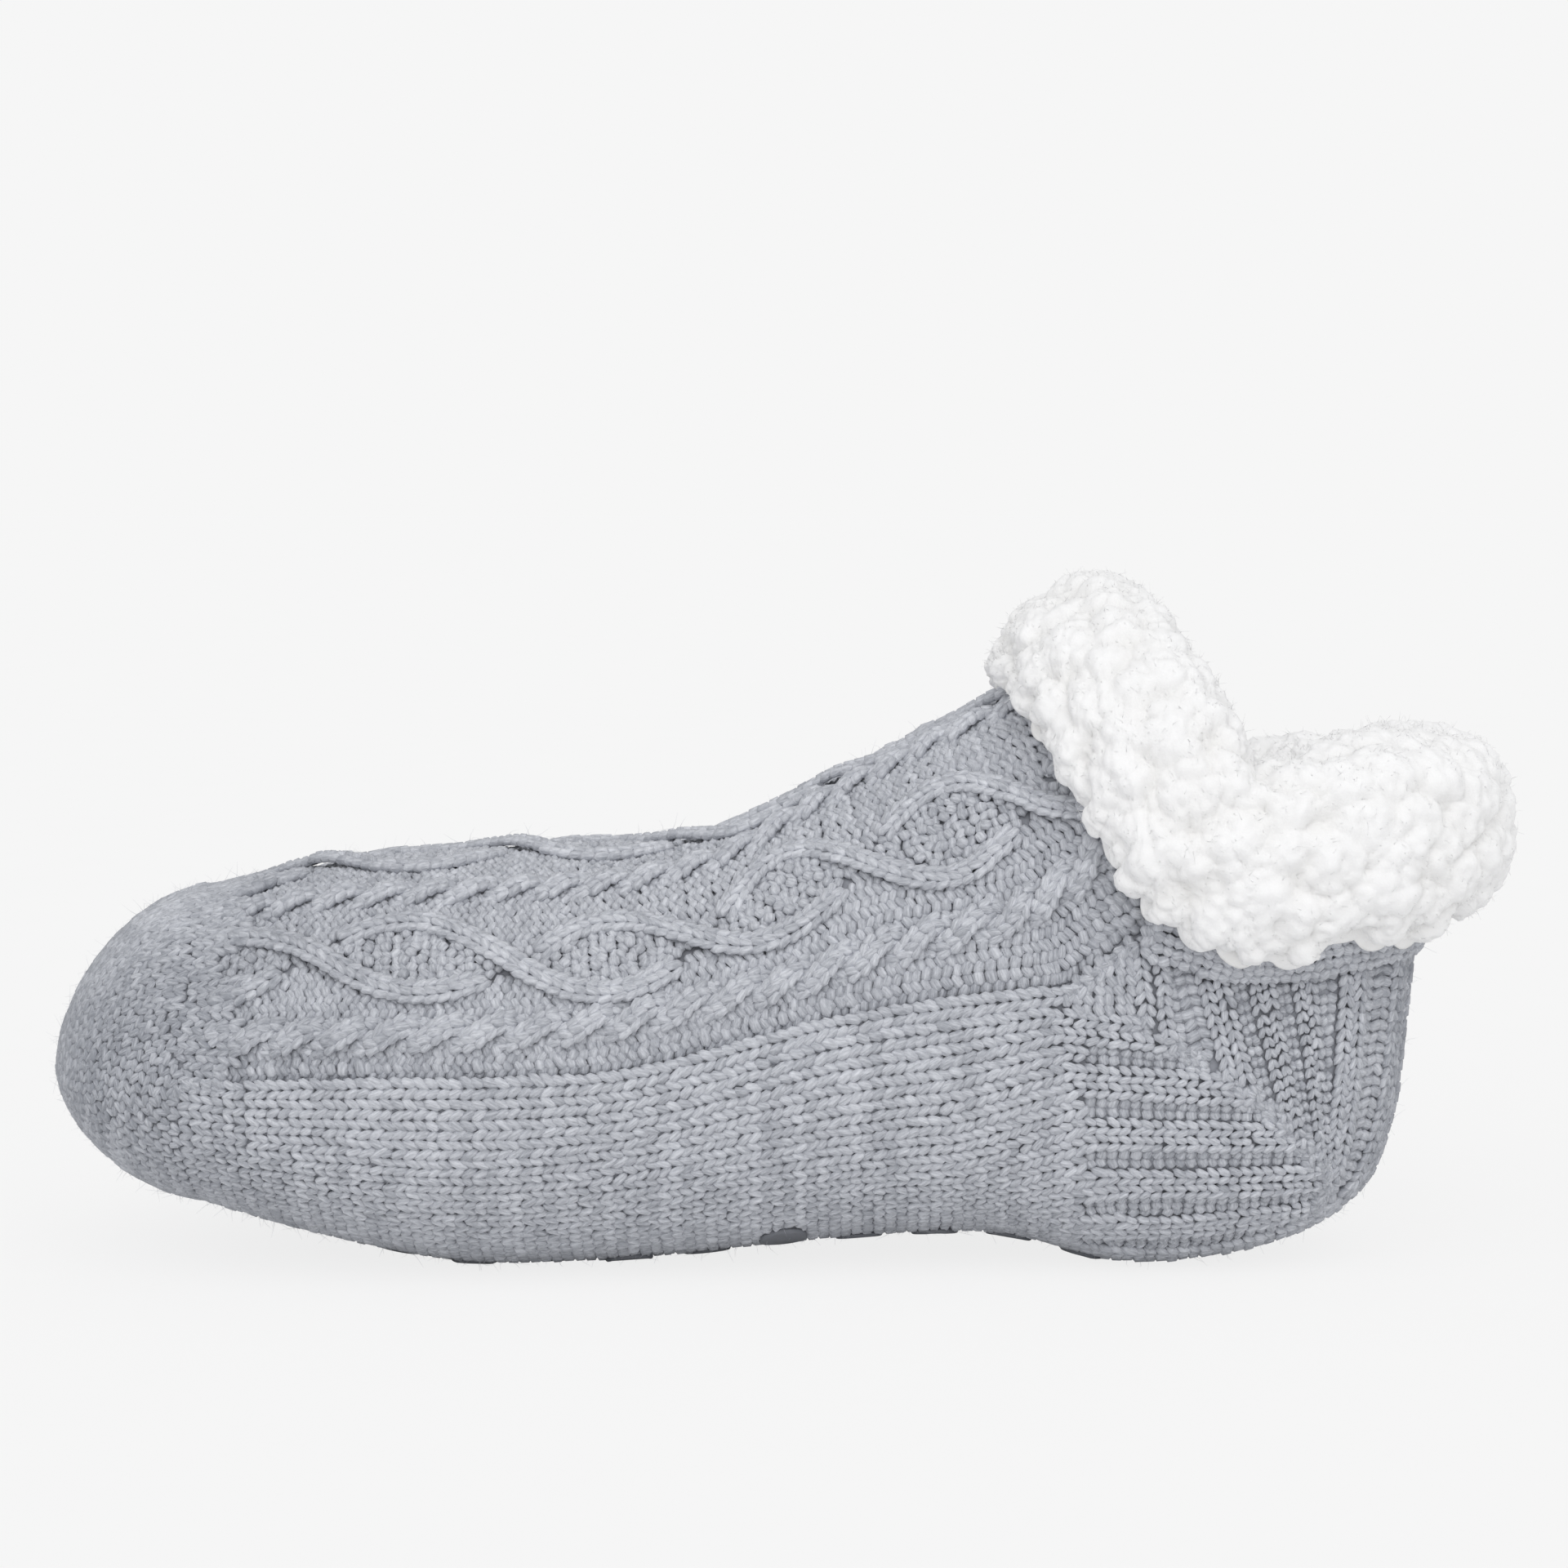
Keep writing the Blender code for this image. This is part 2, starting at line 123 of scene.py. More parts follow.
# The cuff around the collar: share, length of the flap, how far it stands out and in, and its rise
FOLDS = (
    (-1.00, 0.0205, 0.0158, 0.0110, 0.0115),
    (-0.70, 0.0202, 0.0155, 0.0104, 0.0112),
    (-0.60, 0.0210, 0.0153, 0.0100, 0.0110),
    (-0.50, 0.0226, 0.0149, 0.0097, 0.0111),
    (-0.40, 0.0218, 0.0145, 0.0094, 0.0112),
    (-0.30, 0.0251, 0.0140, 0.0092, 0.0112),
    (-0.20, 0.0268, 0.0135, 0.0090, 0.0110),
    (-0.10, 0.0234, 0.0130, 0.0088, 0.0108),
    (0.00, 0.0190, 0.0125, 0.0085, 0.0108),
    (0.10, 0.0204, 0.0123, 0.0085, 0.0116),
    (0.20, 0.0199, 0.0121, 0.0087, 0.0128),
    (0.30, 0.0178, 0.0122, 0.0090, 0.0126),
    (0.40, 0.0168, 0.0123, 0.0096, 0.0130),
    (0.60, 0.0166, 0.0125, 0.0106, 0.0136),
    (1.00, 0.0170, 0.0130, 0.0118, 0.0134),
)

# How much the roll stands higher on the near side and lower on the far side, by share
SETTLE = (
    (-0.90, -0.60, -0.30, -0.10, 0.15),
    (0.0, 0.0020, 0.0020, 0.0004, 0.0),
    (0.0, 0.0016, 0.0030, 0.0030, 0.0),
)

# Lower edge of the hem below the rim, by share
HEM_EDGE = ((-1.00, -0.60, -0.50, -0.40, -0.30, -0.20, -0.09, -0.035, 0.0),
            (0.0283, 0.0289, 0.0293, 0.0305, 0.0317, 0.0324, 0.0305, 0.0303, 0.0235))

# Outline of the rolled fleece, from the inside skirt over the top to the edge of the flap:
# shares of the rise, of the drop, of the inward reach and of the outward reach
ROLL = (
    (0.00, 0.55, 0.45, 0.00),
    (0.00, 0.40, 0.90, 0.00),
    (0.15, 0.00, 1.00, 0.00),
    (0.72, 0.00, 0.72, 0.00),
    (1.00, 0.00, 0.15, 0.00),
    (0.94, 0.00, 0.00, 0.42),
    (0.55, 0.00, 0.00, 0.84),
    (0.00, 0.08, 0.00, 1.00),
    (0.00, 0.40, 0.00, 1.03),
    (0.00, 0.70, 0.00, 0.90),
    (0.00, 0.92, 0.00, 0.66),
    (0.00, 1.02, 0.00, 0.40),
)


class Side(Enum):
    """The two sides of the sock, by the sign of Y."""

    NEAR = 1.0
    FAR = -1.0


class Slot(Enum):
    """Material slots of the record, named for each piece but not read."""

    KNIT = "knit"
    FLEECE = "fleece"
    GRIP = "grip"


class Signal:
    """A value inside a material; sums and products of signals add Math nodes."""

    def __init__(self, finish: NodeFinish, socket: bpy.types.NodeSocket) -> None:
        """Keep the socket and the material that it belongs to."""
        self.finish = finish
        self.socket = socket

    def _join(self, operation: str, other: Signal | float) -> Signal:
        """Add a Math node on this value and another."""
        return self.finish.node("ShaderNodeMath", {"operation": operation}, {0: self, 1: other})

    def __add__(self, other: Signal | float) -> Signal:
        """Return the sum."""
        return self._join("ADD", other)

    def __sub__(self, other: Signal | float) -> Signal:
        """Return the difference."""
        return self._join("SUBTRACT", other)

    def __mul__(self, other: Signal | float) -> Signal:
        """Return the product."""
        return self._join("MULTIPLY", other)

    def clamped(self) -> Signal:
        """Return the value held between 0 and 1."""
        settings = {"operation": "ADD", "use_clamp": True}
        return self.finish.node("ShaderNodeMath", settings, {0: self, 1: 0.0})


class NodeFinish:
    """A node material while it is put together."""

    def __init__(self, name: str) -> None:
        """Start an empty material of that name."""
        self.material = bpy.data.materials.new(name)
        self.material.use_nodes = True
        self.tree = self.material.node_tree
        self.tree.nodes.clear()

    def node(self, kind: str, settings: dict | None = None, inputs: dict | None = None,
             output: int | str = 0) -> Signal | None:
        """Add one node.

        Args:
            kind: The node's type.
            settings: Its own properties, set before its sockets.
            inputs: Values or signals for its sockets, by name or number.
            output: The socket that is returned.

        Returns:
            The node's output as a signal, or None from the last node.
        """
        made = self.tree.nodes.new(kind)
        for name, value in (settings or {}).items():
            setattr(made, name, value)
        for name, value in (inputs or {}).items():
            if isinstance(value, Signal):
                self.tree.links.new(value.socket, made.inputs[name])
            else:
                made.inputs[name].default_value = value
        return Signal(self, made.outputs[output]) if made.outputs else None

    def attribute(self, name: str, output: str) -> Signal:
        """Return an attribute of the piece's own mesh."""
        return self.node("ShaderNodeAttribute", {"attribute_name": name}, output=output)

    def place(self) -> Signal:
        """Return the piece's own coordinates."""
        return self.node("ShaderNodeTexCoord", output="Object")

    def grain(self, place: Signal, scale: float, detail: float = 2.0, roughness: float = 0.5) -> Signal:
        """Return soft noise of that scale."""
        inputs = {"Vector": place, "Scale": scale, "Detail": detail, "Roughness": roughness}
        return self.node("ShaderNodeTexNoise", inputs=inputs)

    def blend(self, share: Signal, first: Colour | Signal, second: Colour | Signal) -> Signal:
        """Return a colour between two, by a share from 0 to 1."""
        ends = [end if isinstance(end, Signal) else (*end, 1.0) for end in (first, second)]
        return self.node("ShaderNodeMix", {"data_type": "RGBA"}, {0: share, 6: ends[0], 7: ends[1]}, 2)

    def bump(self, height: Signal, strength: float, distance: float) -> Signal:
        """Return a normal that follows a height."""
        return self.node("ShaderNodeBump", None, {"Height": height, "Strength": strength, "Distance": distance})

    def surface(self, colour: Signal, roughness: Signal | float, normal: Signal, fixed: dict) -> bpy.types.Material:
        """Close the material with one Principled shader.

        Args:
            colour: Its base colour.
            roughness: Its roughness.
            normal: Its bumped normal.
            fixed: Values of sockets that are the same all over.

        Returns:
            The finished material.
        """
        inputs = {"Base Color": colour, "Roughness": roughness, "Normal": normal, **fixed}
        shader = self.node("ShaderNodeBsdfPrincipled", None, inputs)
        self.node("ShaderNodeOutputMaterial", None, {"Surface": shader})
        return self.material


@dataclass(frozen=True)
class Finish:
    """What all finishes have: a name, a darker and a lighter colour."""

    name: str
    dark: Colour
    light: Colour


@dataclass(frozen=True)
class YarnFinish(Finish):
    """Marled wool yarn: light and dark fibres that run along each stitch."""

    streak_share: float = 0.52
    streak_gain: float = 3.0
    relief: float = 0.00030
    rough: tuple[float, float] = (0.1, 0.85)

    def material(self) -> bpy.types.Material:
        """Return the yarn's material."""
        finish = NodeFinish(self.name)
        yarn = finish.attribute("yarn", "Vector")
        tone = finish.attribute("tone", "Fac")
        streak = finish.grain(yarn, 1.0, 3.0, 0.62)
        fibre = ((streak - 0.5) * self.streak_gain + 0.5).clamped()
        share = (tone * (1 - self.streak_share) + fibre * self.streak_share).clamped()
        colour = finish.blend(share, self.dark, self.light)
        normal = finish.bump(fibre, 0.5, self.relief)
        fixed = {"Specular IOR Level": 0.15, "Sheen Weight": 0.3, "Sheen Roughness": 0.45,
                 "Sheen Tint": (0.86, 0.88, 0.92, 1.0)}
        return finish.surface(colour, fibre * self.rough[0] + self.rough[1], normal, fixed)


@dataclass(frozen=True)
class FleeceFinish(Finish):
    """White sherpa pile, painted darker and a little creamy in its creases as painted shade."""

    curl_scale: float = 520.0
    fibre_scale: float = 2600.0
    relief: float = 0.0005
    rough: tuple[float, float] = (0.1, 0.88)
    # Painted light: the pile glows a little, which brightens it where it lies in shade
    glow: float = 0.03

    def material(self) -> bpy.types.Material:
        """Return the fleece's material."""
        finish = NodeFinish(self.name)
        place = finish.place()
        curl = finish.grain(place, self.curl_scale, 3.0, 0.6)
        fibre = finish.grain(place, self.fibre_scale, 2.0, 0.6)
        loft = finish.attribute("loft", "Fac")
        # Painted shade: low loft in the creases blends towards the darker, creamier colour
        share = (loft * 0.8 + curl * 0.3).clamped()
        colour = finish.blend(share, self.dark, self.light)
        normal = finish.bump(curl * 0.6 + fibre * 0.4, 0.5, self.relief)
        fixed = {"Specular IOR Level": 0.1, "Sheen Weight": 0.2, "Sheen Roughness": 0.6,
                 "Subsurface Weight": 0.25, "Subsurface Radius": (1.0, 1.0, 1.0), "Subsurface Scale": 0.0025,
                 "Emission Color": (1.0, 1.0, 1.0, 1.0), "Emission Strength": self.glow}
        return finish.surface(colour, curl * self.rough[0] + self.rough[1], normal, fixed)


@dataclass(frozen=True)
class BackingFinish(Finish):
    """The ground of the knit between its stitches, painted darker than the yarn as painted shade."""

    loop_scale: float = 620.0
    relief: float = 0.0006
    rough: tuple[float, float] = (0.1, 0.88)

    def material(self) -> bpy.types.Material:
        """Return the backing's material."""
        finish = NodeFinish(self.name)
        loops = finish.grain(finish.place(), self.loop_scale, 3.0, 0.6)
        colour = finish.blend(loops, self.dark, self.light)
        normal = finish.bump(loops, 0.6, self.relief)
        rough = loops * self.rough[0] + self.rough[1]
        return finish.surface(colour, rough, normal, {"Specular IOR Level": 0.1})


@dataclass(frozen=True)
class GripFinish(Finish):
    """Dark grey grip compound, printed on the sole."""

    cloud_scale: float = 260.0
    pit_scale: float = 2400.0
    relief: float = 0.0002
    rough: tuple[float, float] = (0.25, 0.42)

    def material(self) -> bpy.types.Material:
        """Return the compound's material."""
        finish = NodeFinish(self.name)
        place = finish.place()
        cloud = finish.grain(place, self.cloud_scale, 3.0, 0.55)
        pits = finish.grain(place, self.pit_scale, 2.0, 0.5)
        colour = finish.blend(cloud, self.dark, self.light)
        normal = finish.bump(pits * 0.6 + cloud * 0.4, 0.35, self.relief)
        rough = cloud * self.rough[0] + self.rough[1]
        return finish.surface(colour, rough, normal, {"Specular IOR Level": 0.4})


@dataclass(frozen=True)
class FloorFinish(Finish):
    """Plain pale paper on a light table, which the sock itself sees as plain pale card."""

    card: Colour
    glow: float = 0.82
    fibre_scale: float = 40.0
    relief: float = 0.0002
    rough: tuple[float, float] = (0.05, 0.9)

    def material(self) -> bpy.types.Material:
        """Return the paper's material."""
        finish = NodeFinish(self.name)
        fibre = finish.grain(finish.place(), self.fibre_scale)
        colour = finish.blend(fibre, self.dark, self.light)
        normal = finish.bump(fibre, 0.02, self.relief)
        paper = finish.node("ShaderNodeBsdfPrincipled", None, {
            "Base Color": colour, "Roughness": fibre * self.rough[0] + self.rough[1], "Normal": normal,
            "Specular IOR Level": 0.0, "Emission Color": (1.0, 1.0, 1.0, 1.0), "Emission Strength": self.glow})
        card = finish.node("ShaderNodeBsdfDiffuse", None, {"Color": (*self.card, 1.0)})
        seen = finish.node("ShaderNodeLightPath", output="Is Camera Ray")
        shown = finish.node("ShaderNodeMixShader", None, {0: seen, 1: card, 2: paper})
        finish.node("ShaderNodeOutputMaterial", None, {"Surface": shown})
        return finish.material


def unit(vectors: Array) -> Array:
    """Return vectors at length 1."""
    return vectors / np.maximum(np.linalg.norm(vectors, axis=-1, keepdims=True), 1e-12)


def flattened(vectors: Array, normal: Array) -> Array:
    """Return vectors at length 1, with what runs along a normal taken out."""
    return unit(vectors - normal * np.sum(vectors * normal, axis=-1, keepdims=True))


def ramp(value: Array, start: float, length: float) -> Array:
    """Return how far values are along a stretch, from 0 to 1."""
    return np.clip((value - start) / length, 0.0, 1.0)


def eased(share: Array) -> Array:
    """Return shares from 0 to 1 with a slow start and a slow end."""
    return share * share * (3 - 2 * share)


def summed(steps: Array) -> Array:
    """Return running totals, from 0."""
    return np.concatenate([[0.0], np.cumsum(steps)])


def running_length(points: Array) -> Array:
    """Return the length along a line up to each of its points."""
    return summed(np.linalg.norm(np.diff(points, axis=0), axis=1))


def along_line(places: Array, length: Array, rows: Array) -> Array:
    """Return rows of a line, read at places along its running length."""
    return np.stack([np.interp(places, length, axis) for axis in rows.T], axis=-1)


def quarter_round(fullness: float, points: int) -> tuple[Array, Array, Array]:
    """Return how far out and down a quarter round's points lie, and their share of its length."""
    angle = np.linspace(0.0, math.pi / 2, points)
    out, down = np.cos(angle) ** (2 / fullness), np.sin(angle) ** (2 / fullness)
    length = summed(np.hypot(np.diff(out), np.diff(down)))
    return out, down, length / length[-1]


def smooth_curve(rows: Array, places: Array) -> Array:
    """Return a smooth curve through evenly numbered rows.

    Args:
        rows: The rows that it passes through.
        places: Where to read it, in row numbers.

    Returns:
        One row for each place.
    """
    end = len(rows) - 1
    padded = np.vstack([2 * rows[0] - rows[1], rows, 2 * rows[-1] - rows[-2]])
    start = np.clip(places, 0, end - 1e-9).astype(int)
    share = (places - start)[:, None]
    before, here, after, beyond = (padded[start + step] for step in range(4))
    bend = 2 * before - 5 * here + 4 * after - beyond
    twist = 3 * here - before - 3 * after + beyond
    return here + 0.5 * share * ((after - before) + share * (bend + share * twist))


def grid_triangles(rows: int, columns: int, closed_rows: bool, closed_columns: bool) -> Array:
    """Return the triangles of a grid of points that are numbered row by row.

    Args:
        rows: Number of rows.
        columns: Number of points in each row.
        closed_rows: Whether the last row joins the first.
        closed_columns: Whether each row's end joins its start.

    Returns:
        Three point numbers for each triangle.
    """
    row = np.arange(rows if closed_rows else rows - 1)[:, None]
    column = np.arange(columns if closed_columns else columns - 1)[None, :]
    after_row, after_column = (row + 1) % rows, (column + 1) % columns
    corners = [row * columns + column, after_row * columns + column,
               after_row * columns + after_column, row * columns + after_column]
    first = np.stack([corners[0], corners[1], corners[2]], axis=-1).reshape(-1, 3)
    second = np.stack([corners[0], corners[2], corners[3]], axis=-1).reshape(-1, 3)
    return np.concatenate([first, second])


def facing_out(points: Array, triangles: Array) -> Array:
    """Return a closed mesh's triangles, turned round if they face inwards."""
    a, b, c = (points[triangles[:, corner]] for corner in range(3))
    volume = np.einsum("ij,ij->", a, np.cross(b, c))
    return triangles if volume > 0 else triangles[:, ::-1]


def mesh_piece(name: str, points: Array, triangles: Array, finish: bpy.types.Material,
               marks: dict[str, Array] | None = None) -> bpy.types.Object:
    """Make one smooth object of joined triangles.

    Args:
        name: The piece's name.
        points: Its vertices.
        triangles: Three vertex numbers for each face.
        finish: Its material.
        marks: Values or vectors kept at its vertices.

    Returns:
        The new object.
    """
    mesh = bpy.data.meshes.new(name)
    mesh.vertices.add(len(points))
    mesh.vertices.foreach_set("co", np.ascontiguousarray(points, np.float32).ravel())
    mesh.loops.add(triangles.size)
    mesh.loops.foreach_set("vertex_index", np.ascontiguousarray(triangles, np.int32).ravel())
    mesh.polygons.add(len(triangles))
    mesh.polygons.foreach_set("loop_start", np.arange(0, triangles.size, 3, dtype=np.int32))
    mesh.update(calc_edges=True)
    mesh.shade_smooth()
    for label, values in (marks or {}).items():
        vector = values.ndim == 2
        attribute = mesh.attributes.new(label, "FLOAT_VECTOR" if vector else "FLOAT", "POINT")
        flat = np.ascontiguousarray(values, np.float32).ravel()
        attribute.data.foreach_set("vector" if vector else "value", flat)
    mesh.materials.append(finish)
    piece = bpy.data.objects.new(name, mesh)
    bpy.context.scene.collection.objects.link(piece)
    return piece


def merge_doubles(piece: bpy.types.Object, distance: float) -> None:
    """Close a piece's seams and poles by merging points that coincide."""
    bpy.ops.object.select_all(action="DESELECT")
    piece.select_set(True)
    bpy.context.view_layer.objects.active = piece
    bpy.ops.object.mode_set(mode="EDIT")
    bpy.ops.mesh.select_all(action="SELECT")
    bpy.ops.mesh.remove_doubles(threshold=distance)
    bpy.ops.mesh.dissolve_degenerate(threshold=distance)
    bpy.ops.object.mode_set(mode="OBJECT")


def shell_piece(name: str, first: Array, second: Array, finish: bpy.types.Material,
                marks: dict[str, Array] | None = None) -> bpy.types.Object:
    """Make one closed shell of two grids of points.

    Args:
        name: The piece's name.
        first: One grid, from the toe tip to the collar.
        second: The other grid, which runs back to the toe tip.
        finish: Its material.
        marks: Values kept at its vertices.

    Returns:
        The new object.
    """
    points = np.concatenate([first, second]).reshape(-1, 3)
    triangles = grid_triangles(len(first) + len(second), first.shape[1], False, True)
    piece = mesh_piece(name, points, facing_out(points, triangles), finish, marks)
    merge_doubles(piece, WELD)
    return piece


def taken_apart(model: bpy.types.Object) -> tuple[Array, Array]:
    """Return a model's points and triangles, and remove it."""
    bpy.ops.object.mode_set(mode="EDIT")
    bpy.ops.mesh.select_all(action="SELECT")
    bpy.ops.mesh.quads_convert_to_tris()
    bpy.ops.object.mode_set(mode="OBJECT")
    points = np.array([vert.co for vert in model.data.vertices])
    triangles = np.array([face.vertices for face in model.data.polygons])
    bpy.data.objects.remove(model, do_unlink=True)
    return points, triangles


def around_sock(columns: int) -> tuple[Array, Array]:
    """Return the shares and sides of points right around the sock, as rows."""
    share = SOLE + (np.arange(columns) + 0.5) * 2 / columns
    return np.concatenate([share, share[::-1]])[None, :], np.repeat([1.0, -1.0], columns)[None, :]


def stations_from_tip(toe_rows: int, rows: int, end: float) -> Array:
    """Return stations from the toe tip to an end, some of them kept for the toe."""
    return np.concatenate([np.linspace(TIP, 0.0, toe_rows + 1)[:-1], np.linspace(0.0, end, rows - toe_rows)])


def fit_to_frame(piece: bpy.types.Object, slot: Slot, *nodes: str) -> None:
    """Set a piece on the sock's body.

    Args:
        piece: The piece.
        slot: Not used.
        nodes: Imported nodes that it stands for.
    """
    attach(piece, "root")
    if nodes:
        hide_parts(*nodes)
    LOG.info("%s: %d faces, stands for %s", piece.name, len(piece.data.polygons), nodes or "no node")


@dataclass
class Last:
    """The form of the sock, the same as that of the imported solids."""

    toe_end: float
    foot_length: float = 0.256
    ball_width: float = 0.090
    instep_height: float = 0.100
    toe_reach: float = 0.029
    sole_lift: float = 0.0009
    yarn_rise: float = 0.0008
    instep_fullness: float = 2.1
    toe_fullness: float = 2.1
    toe_top_roundness: float = 1.75
    toe_sole_roundness: float = 1.65
    station_step: float = 0.04
    share_count: int = 161
    arc_points: int = 121

    def __post_init__(self) -> None:
        """Lay out the form as a fine table of points and normals."""
        scale = (self.foot_length, self.instep_height) * 3 + (self.ball_width, 1.0)
        self.rows = np.array(SECTIONS) * scale
        self.shift = self.toe_end - (self.rows[0][0] + self.toe_reach - self.yarn_rise)
        self.stations = np.arange(TIP, COLLAR + self.station_step / 2, self.station_step)
        self.shares = np.linspace(SOLE, RIDGE, self.share_count)
        self.points = np.array([self._row(station) for station in self.stations])
        normals = np.cross(np.gradient(self.points, axis=0), np.gradient(self.points, axis=1))
        middle = self.share_count // 2
        normals[self.stations < 0, middle] = (0.0, 1.0, 0.0)
        normals[:, (0, -1), 1] = 0.0
        self.normals = unit(normals)

    def _quarter(self, fullness: float, share: Array) -> tuple[Array, Array]:
        """Return how far out and down points lie on a quarter round, by share of its length."""
        out, down, length = quarter_round(fullness, self.arc_points)
        return np.interp(share, length, out), np.interp(share, length, down)

    def _row(self, station: float) -> Array:
        """Return the points of one section, from the sole to the instep."""
        section = smooth_curve(self.rows, np.array([max(station, 0.0)]))[0]
        sole_x, sole_z, edge_x, edge_z, top_x, top_z, half_width, fullness = section
        low = self.shares < 0
        toe = max(-station, 0.0)
        low_fullness = fullness + toe * (self.toe_fullness - fullness)
        top_fullness = self.instep_fullness + toe * (self.toe_fullness - self.instep_fullness)
        low_out, low_down = self._quarter(low_fullness, np.abs(self.shares))
        top_out, top_down = self._quarter(top_fullness, np.abs(self.shares))
        out, down = np.where(low, low_out, top_out), np.where(low, low_down, top_down)
        turn = toe * math.pi / 2
        roundness = np.where(low, self.toe_sole_roundness, self.toe_top_roundness)
        forward = self.toe_reach * math.sin(turn) ** (2 / roundness)
        level = np.maximum(math.cos(turn), 0.0) ** (2 / roundness)
        x = edge_x + down * (np.where(low, sole_x, top_x) - edge_x + forward)
        z = edge_z + down * level * (np.where(low, sole_z, top_z) - edge_z)
        return np.stack([x + self.shift, half_width * out, np.maximum(z, self.sole_lift)], axis=-1)

    def at(self, station: Array | float, share: Array | float, side: Array | float = 1.0,
           lift: Array | float = 0.0) -> tuple[Array, Array]:
        """Return points of the form and its outward normals there.

        Args:
            station: Stations along the sections.
            share: Shares around them; past 1 or -1 they run on over the middle.
            side: 1 or -1, the side that the shares are counted on.
            lift: How far the points stand off the form.

        Returns:
            The points and the normals.
        """
        values = (np.asarray(value, float) for value in (station, share, side, lift))
        station, share, side, lift = np.broadcast_arrays(*values)
        turned = station < TIP
        station, share = np.where(turned, 2 * TIP - station, station), np.where(turned, -share, share)
        past = np.abs(share) > 1
        side, share = np.where(past, -side, side), np.where(past, np.sign(share) * 2 - share, share)
        row = np.clip((station - TIP) / self.station_step, 0, len(self.stations) - 1 - 1e-6)
        column = np.clip((share - SOLE) / 2 * (self.share_count - 1), 0, self.share_count - 1 - 1e-6)
        i, j = row.astype(int), column.astype(int)
        a, b = (row - i)[..., None], (column - j)[..., None]
        found = []
        for table in (self.points, self.normals):
            low = table[i, j] * (1 - b) + table[i, j + 1] * b
            high = table[i + 1, j] * (1 - b) + table[i + 1, j + 1] * b
            value = low * (1 - a) + high * a
            found.append(value * np.stack([np.ones_like(side), side, np.ones_like(side)], axis=-1))
        normal = unit(found[1])
        return found[0] + normal * lift[..., None], normal

    def frame(self, station: Array, share: Array, side: float) -> Frame:
        """Return points of the form with three directions there.

        Args:
            station: Stations along the sections.
            share: Shares around them.
            side: 1 or -1.

        Returns:
            The points, and the directions of rising station, of rising share and outwards.
        """
        point, outward = self.at(station, share, side)
        along = self.at(station + STATION_STEP, share, side)[0] - self.at(station - STATION_STEP, share, side)[0]
        along = flattened(along, outward)
        upward = self.at(station, share + SHARE_STEP, side)[0] - self.at(station, share - SHARE_STEP, side)[0]
        across = np.cross(outward, along)
        across *= np.sign(np.sum(across * upward, axis=-1, keepdims=True))
        return point, along, across, outward


@dataclass(frozen=True)
class Marl:
    """Light and dark lengths of the yarn, which it carries from stitch to stitch."""

    seed: int
    length: float = 0.016
    drift: float = 61.7
    own_share: float = 0.45
    entries: int = 4093
    offset: float = 2048.0
    own_seeds: int = 100003

    def tone(self, course: Array, along: Array) -> Array:
        """Return the lightness of stitches.

        Args:
            course: The course that each stitch is in.
            along: Its place along that course.

        Returns:
            A lightness from 0 to 1 for each.
        """
        table = np.random.default_rng(self.seed).random(self.entries)
        place = np.asarray(along) / self.length + np.asarray(course) * self.drift + self.offset
        start = np.floor(place).astype(int)
        share = eased(place - start)
        slow = table[start % self.entries] * (1 - share) + table[(start + 1) % self.entries] * share
        own_seed = self.seed + int(abs(place.sum() * 1e3)) % self.own_seeds
        own = np.random.default_rng(own_seed).random(place.shape)
        return slow * (1 - self.own_share) + own * self.own_share


